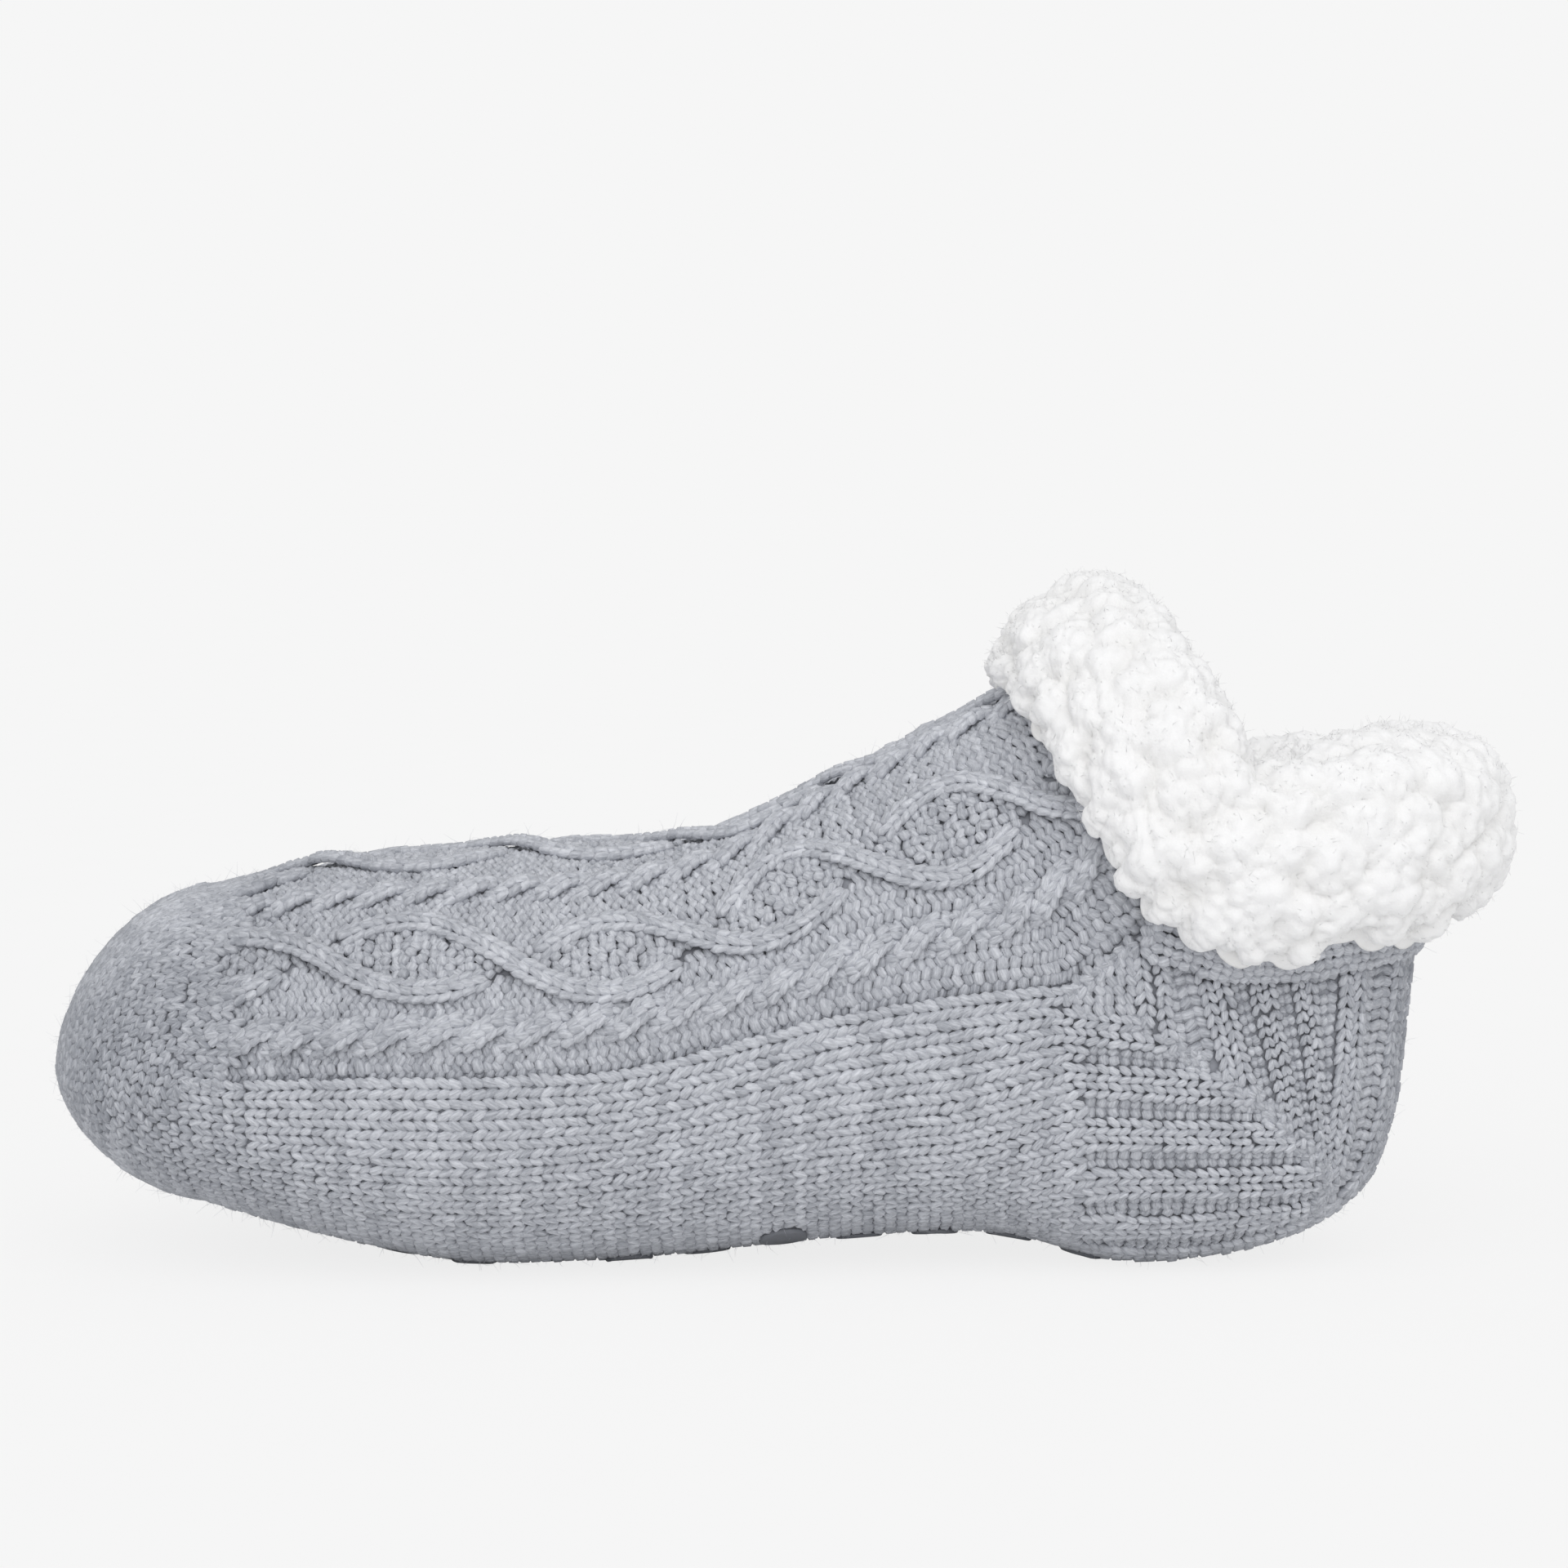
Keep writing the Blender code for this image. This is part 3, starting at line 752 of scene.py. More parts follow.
@dataclass
class StitchBatch:
    """Stitch legs that are gathered and then laid as joined meshes."""

    finish: bpy.types.Material
    seed: int
    sides: int = 5
    rings: int = 3
    streak_along: float = 0.55
    streak_across: float = 2.4
    streak_tilt: float = 0.35
    streak_spread: float = 90.0
    root_height: float = 0.8
    plump: float = 0.72
    legs: list[tuple[Array, ...]] = field(default_factory=list)
    roots: list[tuple[Array, Array, Array]] = field(default_factory=list)

    def __post_init__(self) -> None:
        """Model one leg from a small sphere, to be stretched for every stitch."""
        self.random = np.random.default_rng(self.seed)
        bpy.ops.object.select_all(action="DESELECT")
        bpy.ops.mesh.primitive_uv_sphere_add(segments=self.sides, ring_count=self.rings, radius=1.0)
        self.shape, self.faces = taken_apart(bpy.context.object)
        widest = self.shape[np.argmax(np.hypot(self.shape[:, 0], self.shape[:, 1]))]
        angle = -math.atan2(widest[1], widest[0])
        turn = np.array([[math.cos(angle), -math.sin(angle)], [math.sin(angle), math.cos(angle)]])
        self.shape[:, :2] = self.shape[:, :2] @ turn.T
        reach = np.maximum(np.hypot(self.shape[:, 0], self.shape[:, 1]), 1e-6)
        self.shape[:, :2] *= (reach ** (self.plump - 1.0))[:, None] * (reach > 1e-3)[:, None]
        self.shape[:, :2] /= np.hypot(self.shape[:, 0], self.shape[:, 1]).max()

    def lay(self, centre: Array, along: Array, outward: Array, length: Array | float, width: Array | float,
            height: Array | float, dip: Array | float, tone: Array | float) -> None:
        """Add legs of yarn.

        Args:
            centre: Their middles.
            along: Their directions.
            outward: The outward normals under them.
            length: Their lengths.
            width: Their half widths.
            height: Their half heights.
            dip: How far their ends sink below their middles.
            tone: Their lightness.
        """
        count = len(centre)
        if count:
            sizes = [np.broadcast_to(np.asarray(v, float), (count,)) for v in (length, width, height, dip, tone)]
            self.legs.append((centre, unit(along), outward, *sizes))

    def piece(self, name: str) -> bpy.types.Object:
        """Return all legs gathered so far as one piece, and start afresh."""
        centre, along, outward, length, width, height, dip, tone = (np.concatenate(v) for v in zip(*self.legs))
        self.legs.clear()
        outward = flattened(outward, along)
        self.roots.append((centre + outward * height[:, None] * self.root_height, along, outward))
        across = np.cross(along, outward)
        up, over, end = self.shape.T
        local_along = end[None, :] * length[:, None] / 2
        local_across = over[None, :] * width[:, None]
        local_up = up[None, :] * height[:, None] - dip[:, None] * end[None, :] ** 2
        points = (centre[:, None] + along[:, None] * local_along[..., None]
                  + across[:, None] * local_across[..., None] + outward[:, None] * local_up[..., None])
        offsets = np.arange(len(centre))[:, None, None] * len(self.shape)
        triangles = (self.faces[None] + offsets).reshape(-1, 3)
        own = np.repeat(self.random.random(len(centre)) * self.streak_spread, len(self.shape))
        streak = local_across + self.streak_tilt * local_up
        yarn = np.stack([local_along / MILLIMETRE * self.streak_along, streak / MILLIMETRE * self.streak_across,
                         own.reshape(local_along.shape)], axis=-1)
        marks = {"yarn": yarn.reshape(-1, 3), "tone": np.repeat(tone, len(self.shape))}
        return mesh_piece(name, points.reshape(-1, 3), triangles, self.finish, marks)


@dataclass
class HeelTurn:
    """How the wales of the heel run level to the mitre, turn a corner and climb the leg."""

    last: Last
    start: float = 7.0
    corner: Table = (
        (0.0, 0.04, 0.17, 0.23, 0.36, 0.42, 0.605, 0.66, 0.73, 0.88, 1.0),
        (0.0556, 0.0530, 0.0424, 0.0368, 0.0288, 0.0256, 0.0184, 0.0172, 0.0164, 0.0144, 0.0144))
    level_fall: float = 0.13
    level_end: float = 0.6
    leg_lean: Table = ((0.03, 0.20, 0.40, 0.60, 0.85), (0.05, 0.28, 0.27, 0.17, 0.0))
    round_from: float = 0.65
    least_fall: float = 1e-4
    panel_gap: float = 0.012

    def _drop(self, fullness: Array, share: Array, inverse: bool) -> Array:
        """Return how far down a section shares lie, or the other way round."""
        found = []
        for full, value in zip(fullness, share):
            ends = quarter_round(full, self.last.arc_points)[1:]
            found.append(np.interp(value, *(ends if inverse else ends[::-1])))
        return np.array(found)

    def shares(self, share: float, station: Array) -> Array:
        """Return a wale's shares through the heel.

        Args:
            share: Its share where the heel starts, from 0 to -1.
            station: Stations past the start.

        Returns:
            A share for each station, and not a number once the wale has run into the panel.
        """
        places = np.concatenate([[self.start], station])
        rows = smooth_curve(self.last.rows, places)
        sole_x, sole_z, edge_x, edge_z = rows[:, 0], rows[:, 1], rows[:, 2], rows[:, 3]
        plain = self._drop(rows[:, 7], np.full(len(rows), -share), False)
        first = plain[0]
        run, fall = sole_x - edge_x, sole_z - edge_z
        from_x, from_z = edge_x[0] + first * run[0], edge_z[0] + first * fall[0]
        slope = self.level_fall * max(0.0, 1 - first / self.level_end)
        level = (from_z - edge_z - slope * (from_x - edge_x)) / np.minimum(fall - slope * run, -self.least_fall)
        corner_x = float(np.interp(first, *self.corner))
        corner_z = from_z - slope * (from_x - corner_x)
        lean = float(np.interp(first, *self.leg_lean))
        climb = (corner_x - edge_x + lean * (edge_z - corner_z)) / np.minimum(run - lean * fall, -self.least_fall)
        mitred = np.minimum(level, climb)
        weight = np.clip((1 - first) / (1 - self.round_from), 0.0, 1.0)
        drop = plain + (mitred - plain) * eased(weight)
        found = -self._drop(rows[:, 7], np.clip(drop, 0.0, 1.0), True)
        return np.where(drop > self.panel_gap, found, np.nan)[1:]


@dataclass
class PlainKnit:
    """Stocking stitch of the toe, sole and leg, with the ribs of the heel.

    A wale runs from the top of the toe around its tip, under the foot, around the heel and up the leg.
    """

    last: Last
    panel: CablePanel
    batch: StitchBatch
    edge_share: float = 0.022
    edge_wales: float = 7.0
    wales: float = 21.5
    course: float = 0.00208
    toe_top: float = -2.44
    toe_wave: float = 0.10
    toe_fuller: float = 1.22
    toe_ragged: Table = ((2.4, 1.0), (5.1, 0.7))
    path_points: tuple[int, int] = (1400, 600)
    tip_turn: float = 0.8
    side_open: Table = ((-1.0, 0.0, 2.0, 4.0, 5.6, 7.0), (0.15, 0.46, 0.32, 0.22, 0.20, 0.0))
    heel_close: float = 5.6
    heel_closer: float = 0.25
    # Painted shade by station: the toe is painted darker, easing off along the sole, and a little at the back of the
    # heel
    end_shade: Table = ((-2.4, -1.6, -0.6, 0.2, 1.4, 8.5, 10.0), (0.46, 0.58, 0.58, 0.26, 0.0, 0.0, 0.08))
    leg_end: float = 12.6
    level: float = 2.0
    rib_start: float = 0.0625
    first_rib: int = 3
    rib_repeat: int = 3
    rib_pull: tuple[float, ...] = (0.0, -0.5, 0.5)
    leg_long: float = 1.10
    leg_wide: float = 0.245
    leg_lengths: tuple[float, float] = (0.0026, 0.0040)
    leg_widths: tuple[float, float] = (0.00060, 0.00110)
    toe_blend: tuple[float, float] = (-0.4, 0.6)
    leg_height: float = 0.00088
    leg_dip: float = 0.00042
    depth: float = 0.00082
    slant: float = math.radians(26.0)
    slant_jitter: float = math.radians(5.0)
    direction_reach: float = 0.0006
    spread_limits: tuple[float, float] = (0.0018, 0.0052)
    rib_depth: float = 0.00165
    # Painted shade in the ribs' hollows: how much darker their purl bars are painted
    rib_shade: float = 0.20
    # Painted shade: how much darker stitches are painted where they face the toe or the heel end
    edge_shade: float = 0.45
    # How much of the toe's painted shade each wale keeps, by wale number: less on the lower wales
    under_toe: Table = ((8.0, 14.0), (1.0, 0.30))
    rib_wale: float = 0.0031
    corner_steps: tuple[float, ...] = (-0.0015, 0.0, 0.0015)
    corner_bend: float = 0.95
    wide_hollow: float = 0.0042
    thin_bars: Table = ((0.25, 0.42), (-0.25, -0.42))
    wide_bars: Table = ((0.33, 0.42), (0.0, -0.42), (-0.33, 0.42))
    bar_lengths: tuple[float, float] = (0.74, 0.52)
    bar_half: float = 0.00105
    gusset: Table = (
        (-0.0490, 0.0545), (-0.0583, 0.0614), (-0.0640, 0.0660),
        (-0.0645, 0.0572), (-0.0630, 0.0500), (-0.0538, 0.0508))
    gusset_pitch: tuple[float, float] = (0.0019, 0.0017)
    gusset_stations: tuple[float, float] = (6.6, 12.4)
    gusset_shares: tuple[float, float] = (-0.24, 0.10)
    gusset_points: int = 120
    gusset_lean: float = -0.55

    def __post_init__(self) -> None:
        """Work out the spacing of the wales."""
        self.heel = HeelTurn(self.last)
        self.pitch = (self.edge_share - SOLE) / self.wales

    def _path(self, number: int) -> tuple[Array, Array]:
        """Return a wale's stations, close together, and its shares there."""
        ragged = sum(size * math.sin(speed * number) for speed, size in self.toe_ragged)
        near = np.linspace(self.toe_top + self.toe_wave * ragged, self.heel.start, self.path_points[0])
        share = self.edge_share - (number + 0.5) * self.pitch
        sway = max(0.0, 1 - number / self.edge_wales)
        around = np.clip((near - TIP) / self.tip_turn, -1.0, 1.0)
        edge = self.panel.line(Line.EDGE, np.abs(np.where(near < TIP, near + 2, np.maximum(near, 0.0))))
        shares = share + sway * (edge - self.edge_share) * around
        shares = np.where(shares < 0, shares * (1 + np.interp(near, *self.side_open) * (1 + shares)), shares)
        close = eased(ramp(near, self.heel_close, self.heel.start - self.heel_close)) * self.heel_closer
        shares = np.where(shares < 0, shares * (1 - close * (1 - np.abs(shares) ** 3)), shares)
        far = np.linspace(self.heel.start, self.leg_end, self.path_points[1])[1:]
        if number:
            turned = self.heel.shares(shares[-1], far)
        else:
            turned = self.panel.line(Line.EDGE, far) - 0.5 * self.pitch
        kept = np.cumsum(np.isnan(turned)) == 0
        return np.concatenate([near, far[kept]]), np.concatenate([shares, turned[kept]])

    def _wale(self, number: int, side: float) -> dict[str, Array]:
        """Return a wale's stitches: their course numbers, stations, spacing and directions."""
        turn, share = self._path(number)
        points = self.last.at(turn, share, side)[0]
        length = running_length(points)
        origin = np.interp(self.level, turn, length)
        course = np.arange(math.ceil(-origin / self.course), math.floor((length[-1] - origin) / self.course))
        places = origin + (course + 0.5) * self.course
        turn, share = np.interp(places, length, turn), np.interp(places, length, share)
        point, outward = self.last.at(turn, share, side)
        behind, ahead = (along_line(places + step * self.direction_reach, length, points) for step in (-1, 1))
        along = flattened(ahead - behind, outward)
        upward = self.last.at(turn, share + SHARE_STEP, side)[0] - self.last.at(turn, share - SHARE_STEP, side)[0]
        across = np.cross(outward, along)
        reach = np.sum(across * upward, axis=-1)
        across *= np.sign(reach)[:, None]
        spacing = np.abs(reach) / (2 * SHARE_STEP) * self.pitch
        spacing = np.where(turn > 0, self._spread(number, side, point), spacing)
        return {"course": course, "turn": turn, "spacing": spacing, "point": point, "along": along,
                "across": across, "outward": outward}

    def _spread(self, number: int, side: float, point: Array) -> Array:
        """Return how far a wale's stitches lie from the next wale."""
        beside = number + 1 if number + 1 < self.wales else number - 1
        other = self.last.at(*self._path(beside), side)[0]
        far = np.array([np.min(np.sum((other - place) ** 2, axis=1)) for place in point]) ** 0.5
        return np.clip(far, *self.spread_limits)

    @staticmethod
    def _only(wale: dict[str, Array], kept: Array) -> dict[str, Array]:
        """Return some of a wale's stitches."""
        return {name: values[kept] for name, values in wale.items()}

    def _lay(self, number: int, low: float, high: float, side: Side, marl: Marl) -> None:
        """Lay a wale's stitches between two stations."""
        wale = self._wale(number, side.value)
        wale = self._only(wale, (wale["turn"] >= low) & (wale["turn"] < high))
        ribbed = number >= self.first_rib and number % self.rib_repeat == 0
        hollow = ribbed & (wale["turn"] > self.heel.start - 2)
        hollow &= wale["point"][:, 0] < self.rib_start + self.last.shift
        self._corner(number, wale, marl)
        self._bars(number, self._only(wale, hollow), marl)
        wale = self._only(wale, ~hollow)
        count = len(wale["turn"])
        spare = np.where(wale["turn"] > self.heel.start, np.maximum(wale["spacing"] - self.rib_wale, 0.0), 0.0)
        wale["spacing"] = wale["spacing"] - spare
        wale["point"] = wale["point"] + wale["across"] * (spare * self.rib_pull[number % self.rib_repeat])[:, None]
        for leg in (1.0, -1.0):
            jitter = self.batch.random.normal(size=(4, count, 1))
            slant = self.slant + self.slant_jitter * jitter[0]
            direction = wale["along"] * np.cos(slant) - leg * wale["across"] * np.sin(slant)
            aside = leg * wale["spacing"][:, None] / 4 + 0.00010 * jitter[2]
            centre = (wale["point"] + wale["along"] * (0.00014 * jitter[1]) + wale["across"] * aside
                      - wale["outward"] * (self.depth + 0.00010 * jitter[3]))
            fuller = np.interp(wale["turn"], self.toe_blend, (self.toe_fuller, 1.0))
            length = np.clip(wale["spacing"] * self.leg_long, *self.leg_lengths) * fuller
            width = np.clip(wale["spacing"] * self.leg_wide, *self.leg_widths) * fuller
            tone = marl.tone(wale["course"], np.full(count, (number + 0.25 * leg) * MARL_STEP))
            # Painted shade mask: stitches that turn to face the toe or the heel end
            turned = ramp(np.abs(wale["outward"][:, 0]), 0.5, 0.45)
            # Painted shade on the toe and the heel, eased off under the toe
            ends = np.interp(wale["turn"], *self.end_shade)
            ends = ends * np.where(wale["turn"] < self.level, np.interp(number, *self.under_toe), 1.0)
            tone = tone - ends - self.edge_shade * turned
            self.batch.lay(centre, direction, wale["outward"], length * (1 + 0.09 * jitter[1][:, 0]),
                           width, self.leg_height, self.leg_dip, tone)

    def _corner(self, number: int, wale: dict[str, Array], marl: Marl) -> None:
        """Fill the corner that a wale turns at the mitre with a few short bars."""
        bend = np.sum(wale["along"][:-1] * wale["along"][1:], axis=-1)
        corners = np.flatnonzero((bend < self.corner_bend) & (wale["turn"][1:] > self.heel.start))
        if not len(corners):
            return
        middle = corners[len(corners) // 2]
        level, climb = wale["along"][max(middle - 2, 0)], wale["along"][min(middle + 3, len(bend))]
        forth, back = (grid.reshape(-1, 1) for grid in np.meshgrid(self.corner_steps, self.corner_steps))
        jitter = self.batch.random.normal(size=(3, len(forth), 1))
        outward = np.repeat(wale["outward"][middle:middle + 1], len(forth), axis=0)
        centre = (wale["point"][middle] + level * (forth + 0.0005 + 0.0002 * jitter[0])
                  + climb * (back + 0.0002 * jitter[1]) - outward * (self.rib_depth - 0.0002))
        direction = level - climb + 0.6 * jitter[2] * (level + climb)
        # The corner bars sit in the hollow and get half of its painted shade
        tone = marl.tone(np.arange(len(forth)), np.full(len(forth), number * MARL_STEP)) - 0.5 * self.rib_shade
        self.batch.lay(centre, direction, outward, 0.0026, 0.00100, BAR_HEIGHT, BAR_DIP, tone)

    def _bars(self, number: int, wale: dict[str, Array], marl: Marl) -> None:
        """Lay the slanted bars of a rib's hollow."""
        count = len(wale["turn"])
        wide = wale["spacing"] + 2 * np.maximum(wale["spacing"] - self.rib_wale, 0.0) * (wale["turn"] > self.heel.start)
        thin = wide < self.wide_hollow
        bars = [(*bar, thin) for bar in self.thin_bars] + [(*bar, ~thin) for bar in self.wide_bars]
        for half, lean, kept in bars:
            jitter = self.batch.random.normal(size=(3, count, 1))
            direction = wale["across"] + wale["along"] * (lean + 0.18 * jitter[0])
            centre = (wale["point"] + wale["across"] * wide[:, None] * half + wale["along"] * 0.00015 * jitter[2]
                      - wale["outward"] * (self.rib_depth + 0.00012 * jitter[1]))
            # Bars in the rib's hollow are painted darker as shade
            tone = marl.tone(wale["course"], np.full(count, (number + half) * MARL_STEP)) - self.rib_shade
            length = wide * np.where(thin, *self.bar_lengths)
            self.batch.lay(centre[kept], direction[kept], wale["outward"][kept], length[kept], self.bar_half,
                           BAR_HEIGHT, BAR_DIP, tone[kept])

    def _gusset(self, side: Side, marl: Marl) -> None:
        """Lay the purl gusset between the panel and the front of the heel."""
        spans = (np.linspace(*span, self.gusset_points) for span in (self.gusset_stations, self.gusset_shares))
        station, share = np.meshgrid(*spans, indexing="ij")
        table = self.last.at(station, share, side.value)[0].reshape(-1, 3)
        corners = np.array(self.gusset)
        low, high = corners.min(axis=0), corners.max(axis=0)
        columns, rows = (np.arange(low[axis], high[axis], self.gusset_pitch[axis]) for axis in (0, 1))
        for column, x in enumerate(columns):
            for row, z in enumerate(rows):
                edges = np.roll(corners, -1, axis=0) - corners
                aside = edges[:, 0] * (z - corners[:, 1]) - edges[:, 1] * (x - corners[:, 0])
                if np.any(aside > 0) and np.any(aside < 0):
                    continue
                nearest = np.argmin((table[:, 0] - x) ** 2 + (table[:, 2] - z) ** 2)
                place = (station.ravel()[nearest:nearest + 1], share.ravel()[nearest:nearest + 1])
                point, outward = self.last.at(*place, side.value)
                jitter = self.batch.random.normal(size=3)
                lean = self.gusset_lean + 0.25 * jitter[0]
                centre = point - outward * (0.0010 + 0.0001 * jitter[1]) + np.array([0.0002 * jitter[2], 0.0, 0.0])
                tone = marl.tone(np.array([column]), np.array([row * self.gusset_pitch[1]])) * 0.9
                direction = np.array([[-lean, 0.0, 1.0]])
                self.batch.lay(centre, direction, outward, 0.0032, 0.0010, BAR_HEIGHT, BAR_DIP, tone)

    def build(self) -> None:
        """Make the pieces of plain knit."""
        marl = Marl(seed=5)
        for name, low, high in (("toe_stitches", -3.0, 0.0), ("sole_stitches", 0.0, self.heel.start),
                                ("heel_stitches", self.heel.start, COLLAR)):
            for side in Side:
                whole = math.ceil(self.wales) if side is Side.NEAR else math.floor(self.wales)
                for number in range(whole):
                    self._lay(number, low, high, side, marl)
                if high == COLLAR:
                    self._gusset(side, marl)
                fit_to_frame(self.batch.piece(f"{name}_{side.name.lower()}"), Slot.KNIT)


class Line(Enum):
    """Columns of the panel's table."""

    EDGE = 1
    LOW_ROPE = 2
    DIAMOND = 3
    HIGH_ROPE = 4
    ROPE_HALF = 5
    SWING = 6
    TOP_SWING = 7


@dataclass
class CablePanel:
    """The instep: two ropes and a row of diamonds on each side, one more row on top, on purl ground."""

    last: Last
    batch: StitchBatch
    start: float = 0.24
    end: float = 12.3
    course: float = 0.0017
    strand_course: float = 0.0022
    strand_leg: float = 0.0040
    strand_sink: float = 0.0007
    strand_crown: float = 0.0004
    rope_slim: float = 0.88
    middle: float = 0.45
    rope_lobe: float = 0.0084
    rope_lift: float = 0.0012
    rope_lean: float = 0.50
    rope_slant: float = math.radians(17.0)
    rope_rows: tuple[float, ...] = (-0.66, 0.0, 0.66)
    rope_leg: float = 0.00094
    diamond_slant: float = math.radians(16.0)
    diamond_rows: tuple[float, ...] = (-0.68, 0.0, 0.68)
    diamond_leg: float = 0.00090
    slant_jitter: float = math.radians(4.0)
    strand_dip: float = 0.00050
    strand_stride: int = 211
    rise_length: float = 0.008
    strand_wale: float = 0.0020
    covered: float = 0.0006
    ladder_gap: float = 0.0063
    ladder_share: float = 0.15
    # Painted shade on the purl ground below the low rope, where its shadow falls
    gap_shade: float = 0.14
    cell_width: Table = ((3.0, 5.0), (0.0016, 0.0019))
    crowded: float = 0.62
    very_crowded: float = 0.33
    # Painted shade where the panel starts, to match the toe's painted shade
    toe_shade: Table = ((0.2, 0.8, 2.2), (0.42, 0.26, 0.0))
    # Painted shade in the groove of the first cells beside the panel's edge
    groove_shade: float = 0.26
    crossings: tuple[float, ...] = (1.05, 2.47, 3.90, 5.35, 9.50)
    over_lift: float = 0.0010
    ground_depth: float = 0.0018
    moss_depth: float = 0.0014
    leg_height: float = 0.00095

    def __post_init__(self) -> None:
        """Measure the panel along its middle and across, and smooth its lines."""
        self.table = np.linspace(0.0, COLLAR, 521)
        self.runs = running_length(self.last.at(self.table, self.middle)[0])
        rows = self.last.at(self.table[:, None], np.linspace(EDGE, RIDGE, 50)[None, :])[0]
        self.widths = np.linalg.norm(np.diff(rows, axis=1), axis=2).sum(axis=1)
        columns = np.array(PANEL).T
        kernel = np.hanning(31)
        kernel /= kernel.sum()
        self.lines = [columns[0]]
        for column in columns[1:]:
            spread = np.pad(np.interp(self.table, columns[0], column), 15, mode="edge")
            self.lines.append(np.convolve(spread, kernel, "valid"))
        self.crossing_runs = np.interp(self.crossings, self.table, self.runs)
        self.first_run, self.last_run = np.interp((self.start, self.end), self.table, self.runs)
        self.close_runs = np.linspace(self.first_run, self.last_run, 900)

    def station(self, run: Array) -> Array:
        """Return the stations at lengths along the panel."""
        return np.interp(run, self.runs, self.table)

    def across(self, station: Array) -> Array:
        """Return the panel's width from edge to ridge at stations."""
        return np.interp(station, self.table, self.widths)

    def line(self, name: Line, station: Array) -> Array:
        """Return one column of the panel's table at stations."""
        return np.interp(station, self.table, self.lines[name.value])

    def phase(self, run: Array) -> Array:
        """Return the turn of the diamonds at lengths along the panel: a whole half turn at a crossing."""
        runs = self.crossing_runs
        numbers = np.arange(1, len(runs) + 1)
        before = 1 + (run - runs[0]) / (runs[1] - runs[0])
        after = numbers[-1] + (run - runs[-1]) / (runs[-1] - runs[-2])
        inside = np.interp(run, runs, numbers)
        return math.pi * np.where(run < runs[0], before, np.where(run > runs[-1], after, inside))

    def _rise(self, run: Array) -> Array:
        """Return how far the cables have risen out of the plain toe, from 0 to 1."""
        return ramp(run, self.first_run, self.rise_length)

    def _strand(self, distance: Array, lift: Array, shown: Array, wale: Array, side: Side, slant: float,
                rows: tuple[float, ...], half_width: float, number: int, marl: Marl) -> None:
        """Lay one strand along the panel.

        Args:
            distance: The strand's distance from the panel's share 0, at the close runs.
            lift: Its height there.
            shown: Above 0 where no other strand covers it.
            wale: The width of its wales.
            side: The side of the sock.
            slant: The slant of its stitches, in radians.
            rows: Its rows of stitches, in wales off its middle.
            half_width: The half width of its stitches.
            number: Its number, which sets its marl.
            marl: Gives the lightness of its stitches.
        """
        station = self.station(self.close_runs)
        share = distance / self.across(station)
        length = running_length(self.last.at(station, share, side.value, lift)[0])
        places = np.arange(self.strand_course / 2, length[-1], self.strand_course)
        station, share, lift, shown, wale = (np.interp(places, length, v) for v in (station, share, lift, shown, wale))
        point, outward = self.last.at(station, share, side.value, lift)
        along = unit(np.gradient(point, axis=0))
        across = unit(np.cross(outward, along)) * side.value
        shown = shown > 0
        course = np.arange(len(point))
        for number_row, row in enumerate(rows):
            leg = 1.0 if number_row % 2 else -1.0
            jitter = self.batch.random.normal(size=(4, len(point), 1))
            turn = slant + self.slant_jitter * jitter[0]
            direction = along * np.cos(turn) - leg * across * np.sin(turn)
            aside = (row * wale)[:, None] + 0.00008 * jitter[1]
            height = self.strand_crown * (1 - 2 * row * row) - self.strand_sink + 0.00007 * jitter[3]
            centre = point + across * aside + along * (0.00012 * jitter[2]) + outward * height
            tone = marl.tone(course + self.strand_stride * number, np.full(len(point), row * MARL_STEP))
            # Strands near the toe get the same painted shade
            tone = tone - np.interp(station, *self.toe_shade)
            long = self.strand_leg * (1 + 0.06 * jitter[2][:, 0])
            self.batch.lay(centre[shown], direction[shown], outward[shown], long[shown], half_width,
                           self.leg_height, self.strand_dip, tone[shown])

    def _ropes(self, side: Side, marl: Marl) -> None:
        """Lay both ropes of one side, each of two strands that turn round one another."""
        run = self.close_runs
        station = self.station(run)
        half = self.line(Line.ROPE_HALF, station) * self.rope_slim
        turns = summed(np.diff(run) / self.rope_lobe)
        for number, name in enumerate((Line.LOW_ROPE, Line.HIGH_ROPE)):
            for strand in (0, 1):
                turn = math.pi * (turns + strand + 0.35 * number)
                distance = self.line(name, station) * self.across(station) + self.rope_lean * half * np.sin(turn)
                lift = (self.rope_lift * np.cos(turn) - 0.0003) * self._rise(run) - 0.0002
                wale = half * (1 - self.rope_lean)
                self._strand(distance, lift, np.cos(turn) + 0.8, wale, side, self.rope_slant, self.rope_rows,
                             self.rope_leg, 2 * number + strand, marl)

    def _diamonds(self, middle: Array, swing: Array, side: Side, number: int, marl: Marl) -> None:
        """Lay the two strands of one row of diamonds, which pass over and under one another."""
        run = self.close_runs
        phase = self.phase(run)
        wale = np.full(len(run), self.strand_wale)
        for strand, sign in enumerate((1.0, -1.0)):
            over = -sign * np.cos(phase) * np.abs(np.cos(phase)) ** 5
            lift = (self.over_lift * over + 0.0003) * self._rise(run) - 0.0002
            distance = middle + sign * swing * np.sin(phase)
            self._strand(distance, lift, over + 0.55, wale, side, self.diamond_slant, self.diamond_rows,
                         self.diamond_leg, number + strand, marl)

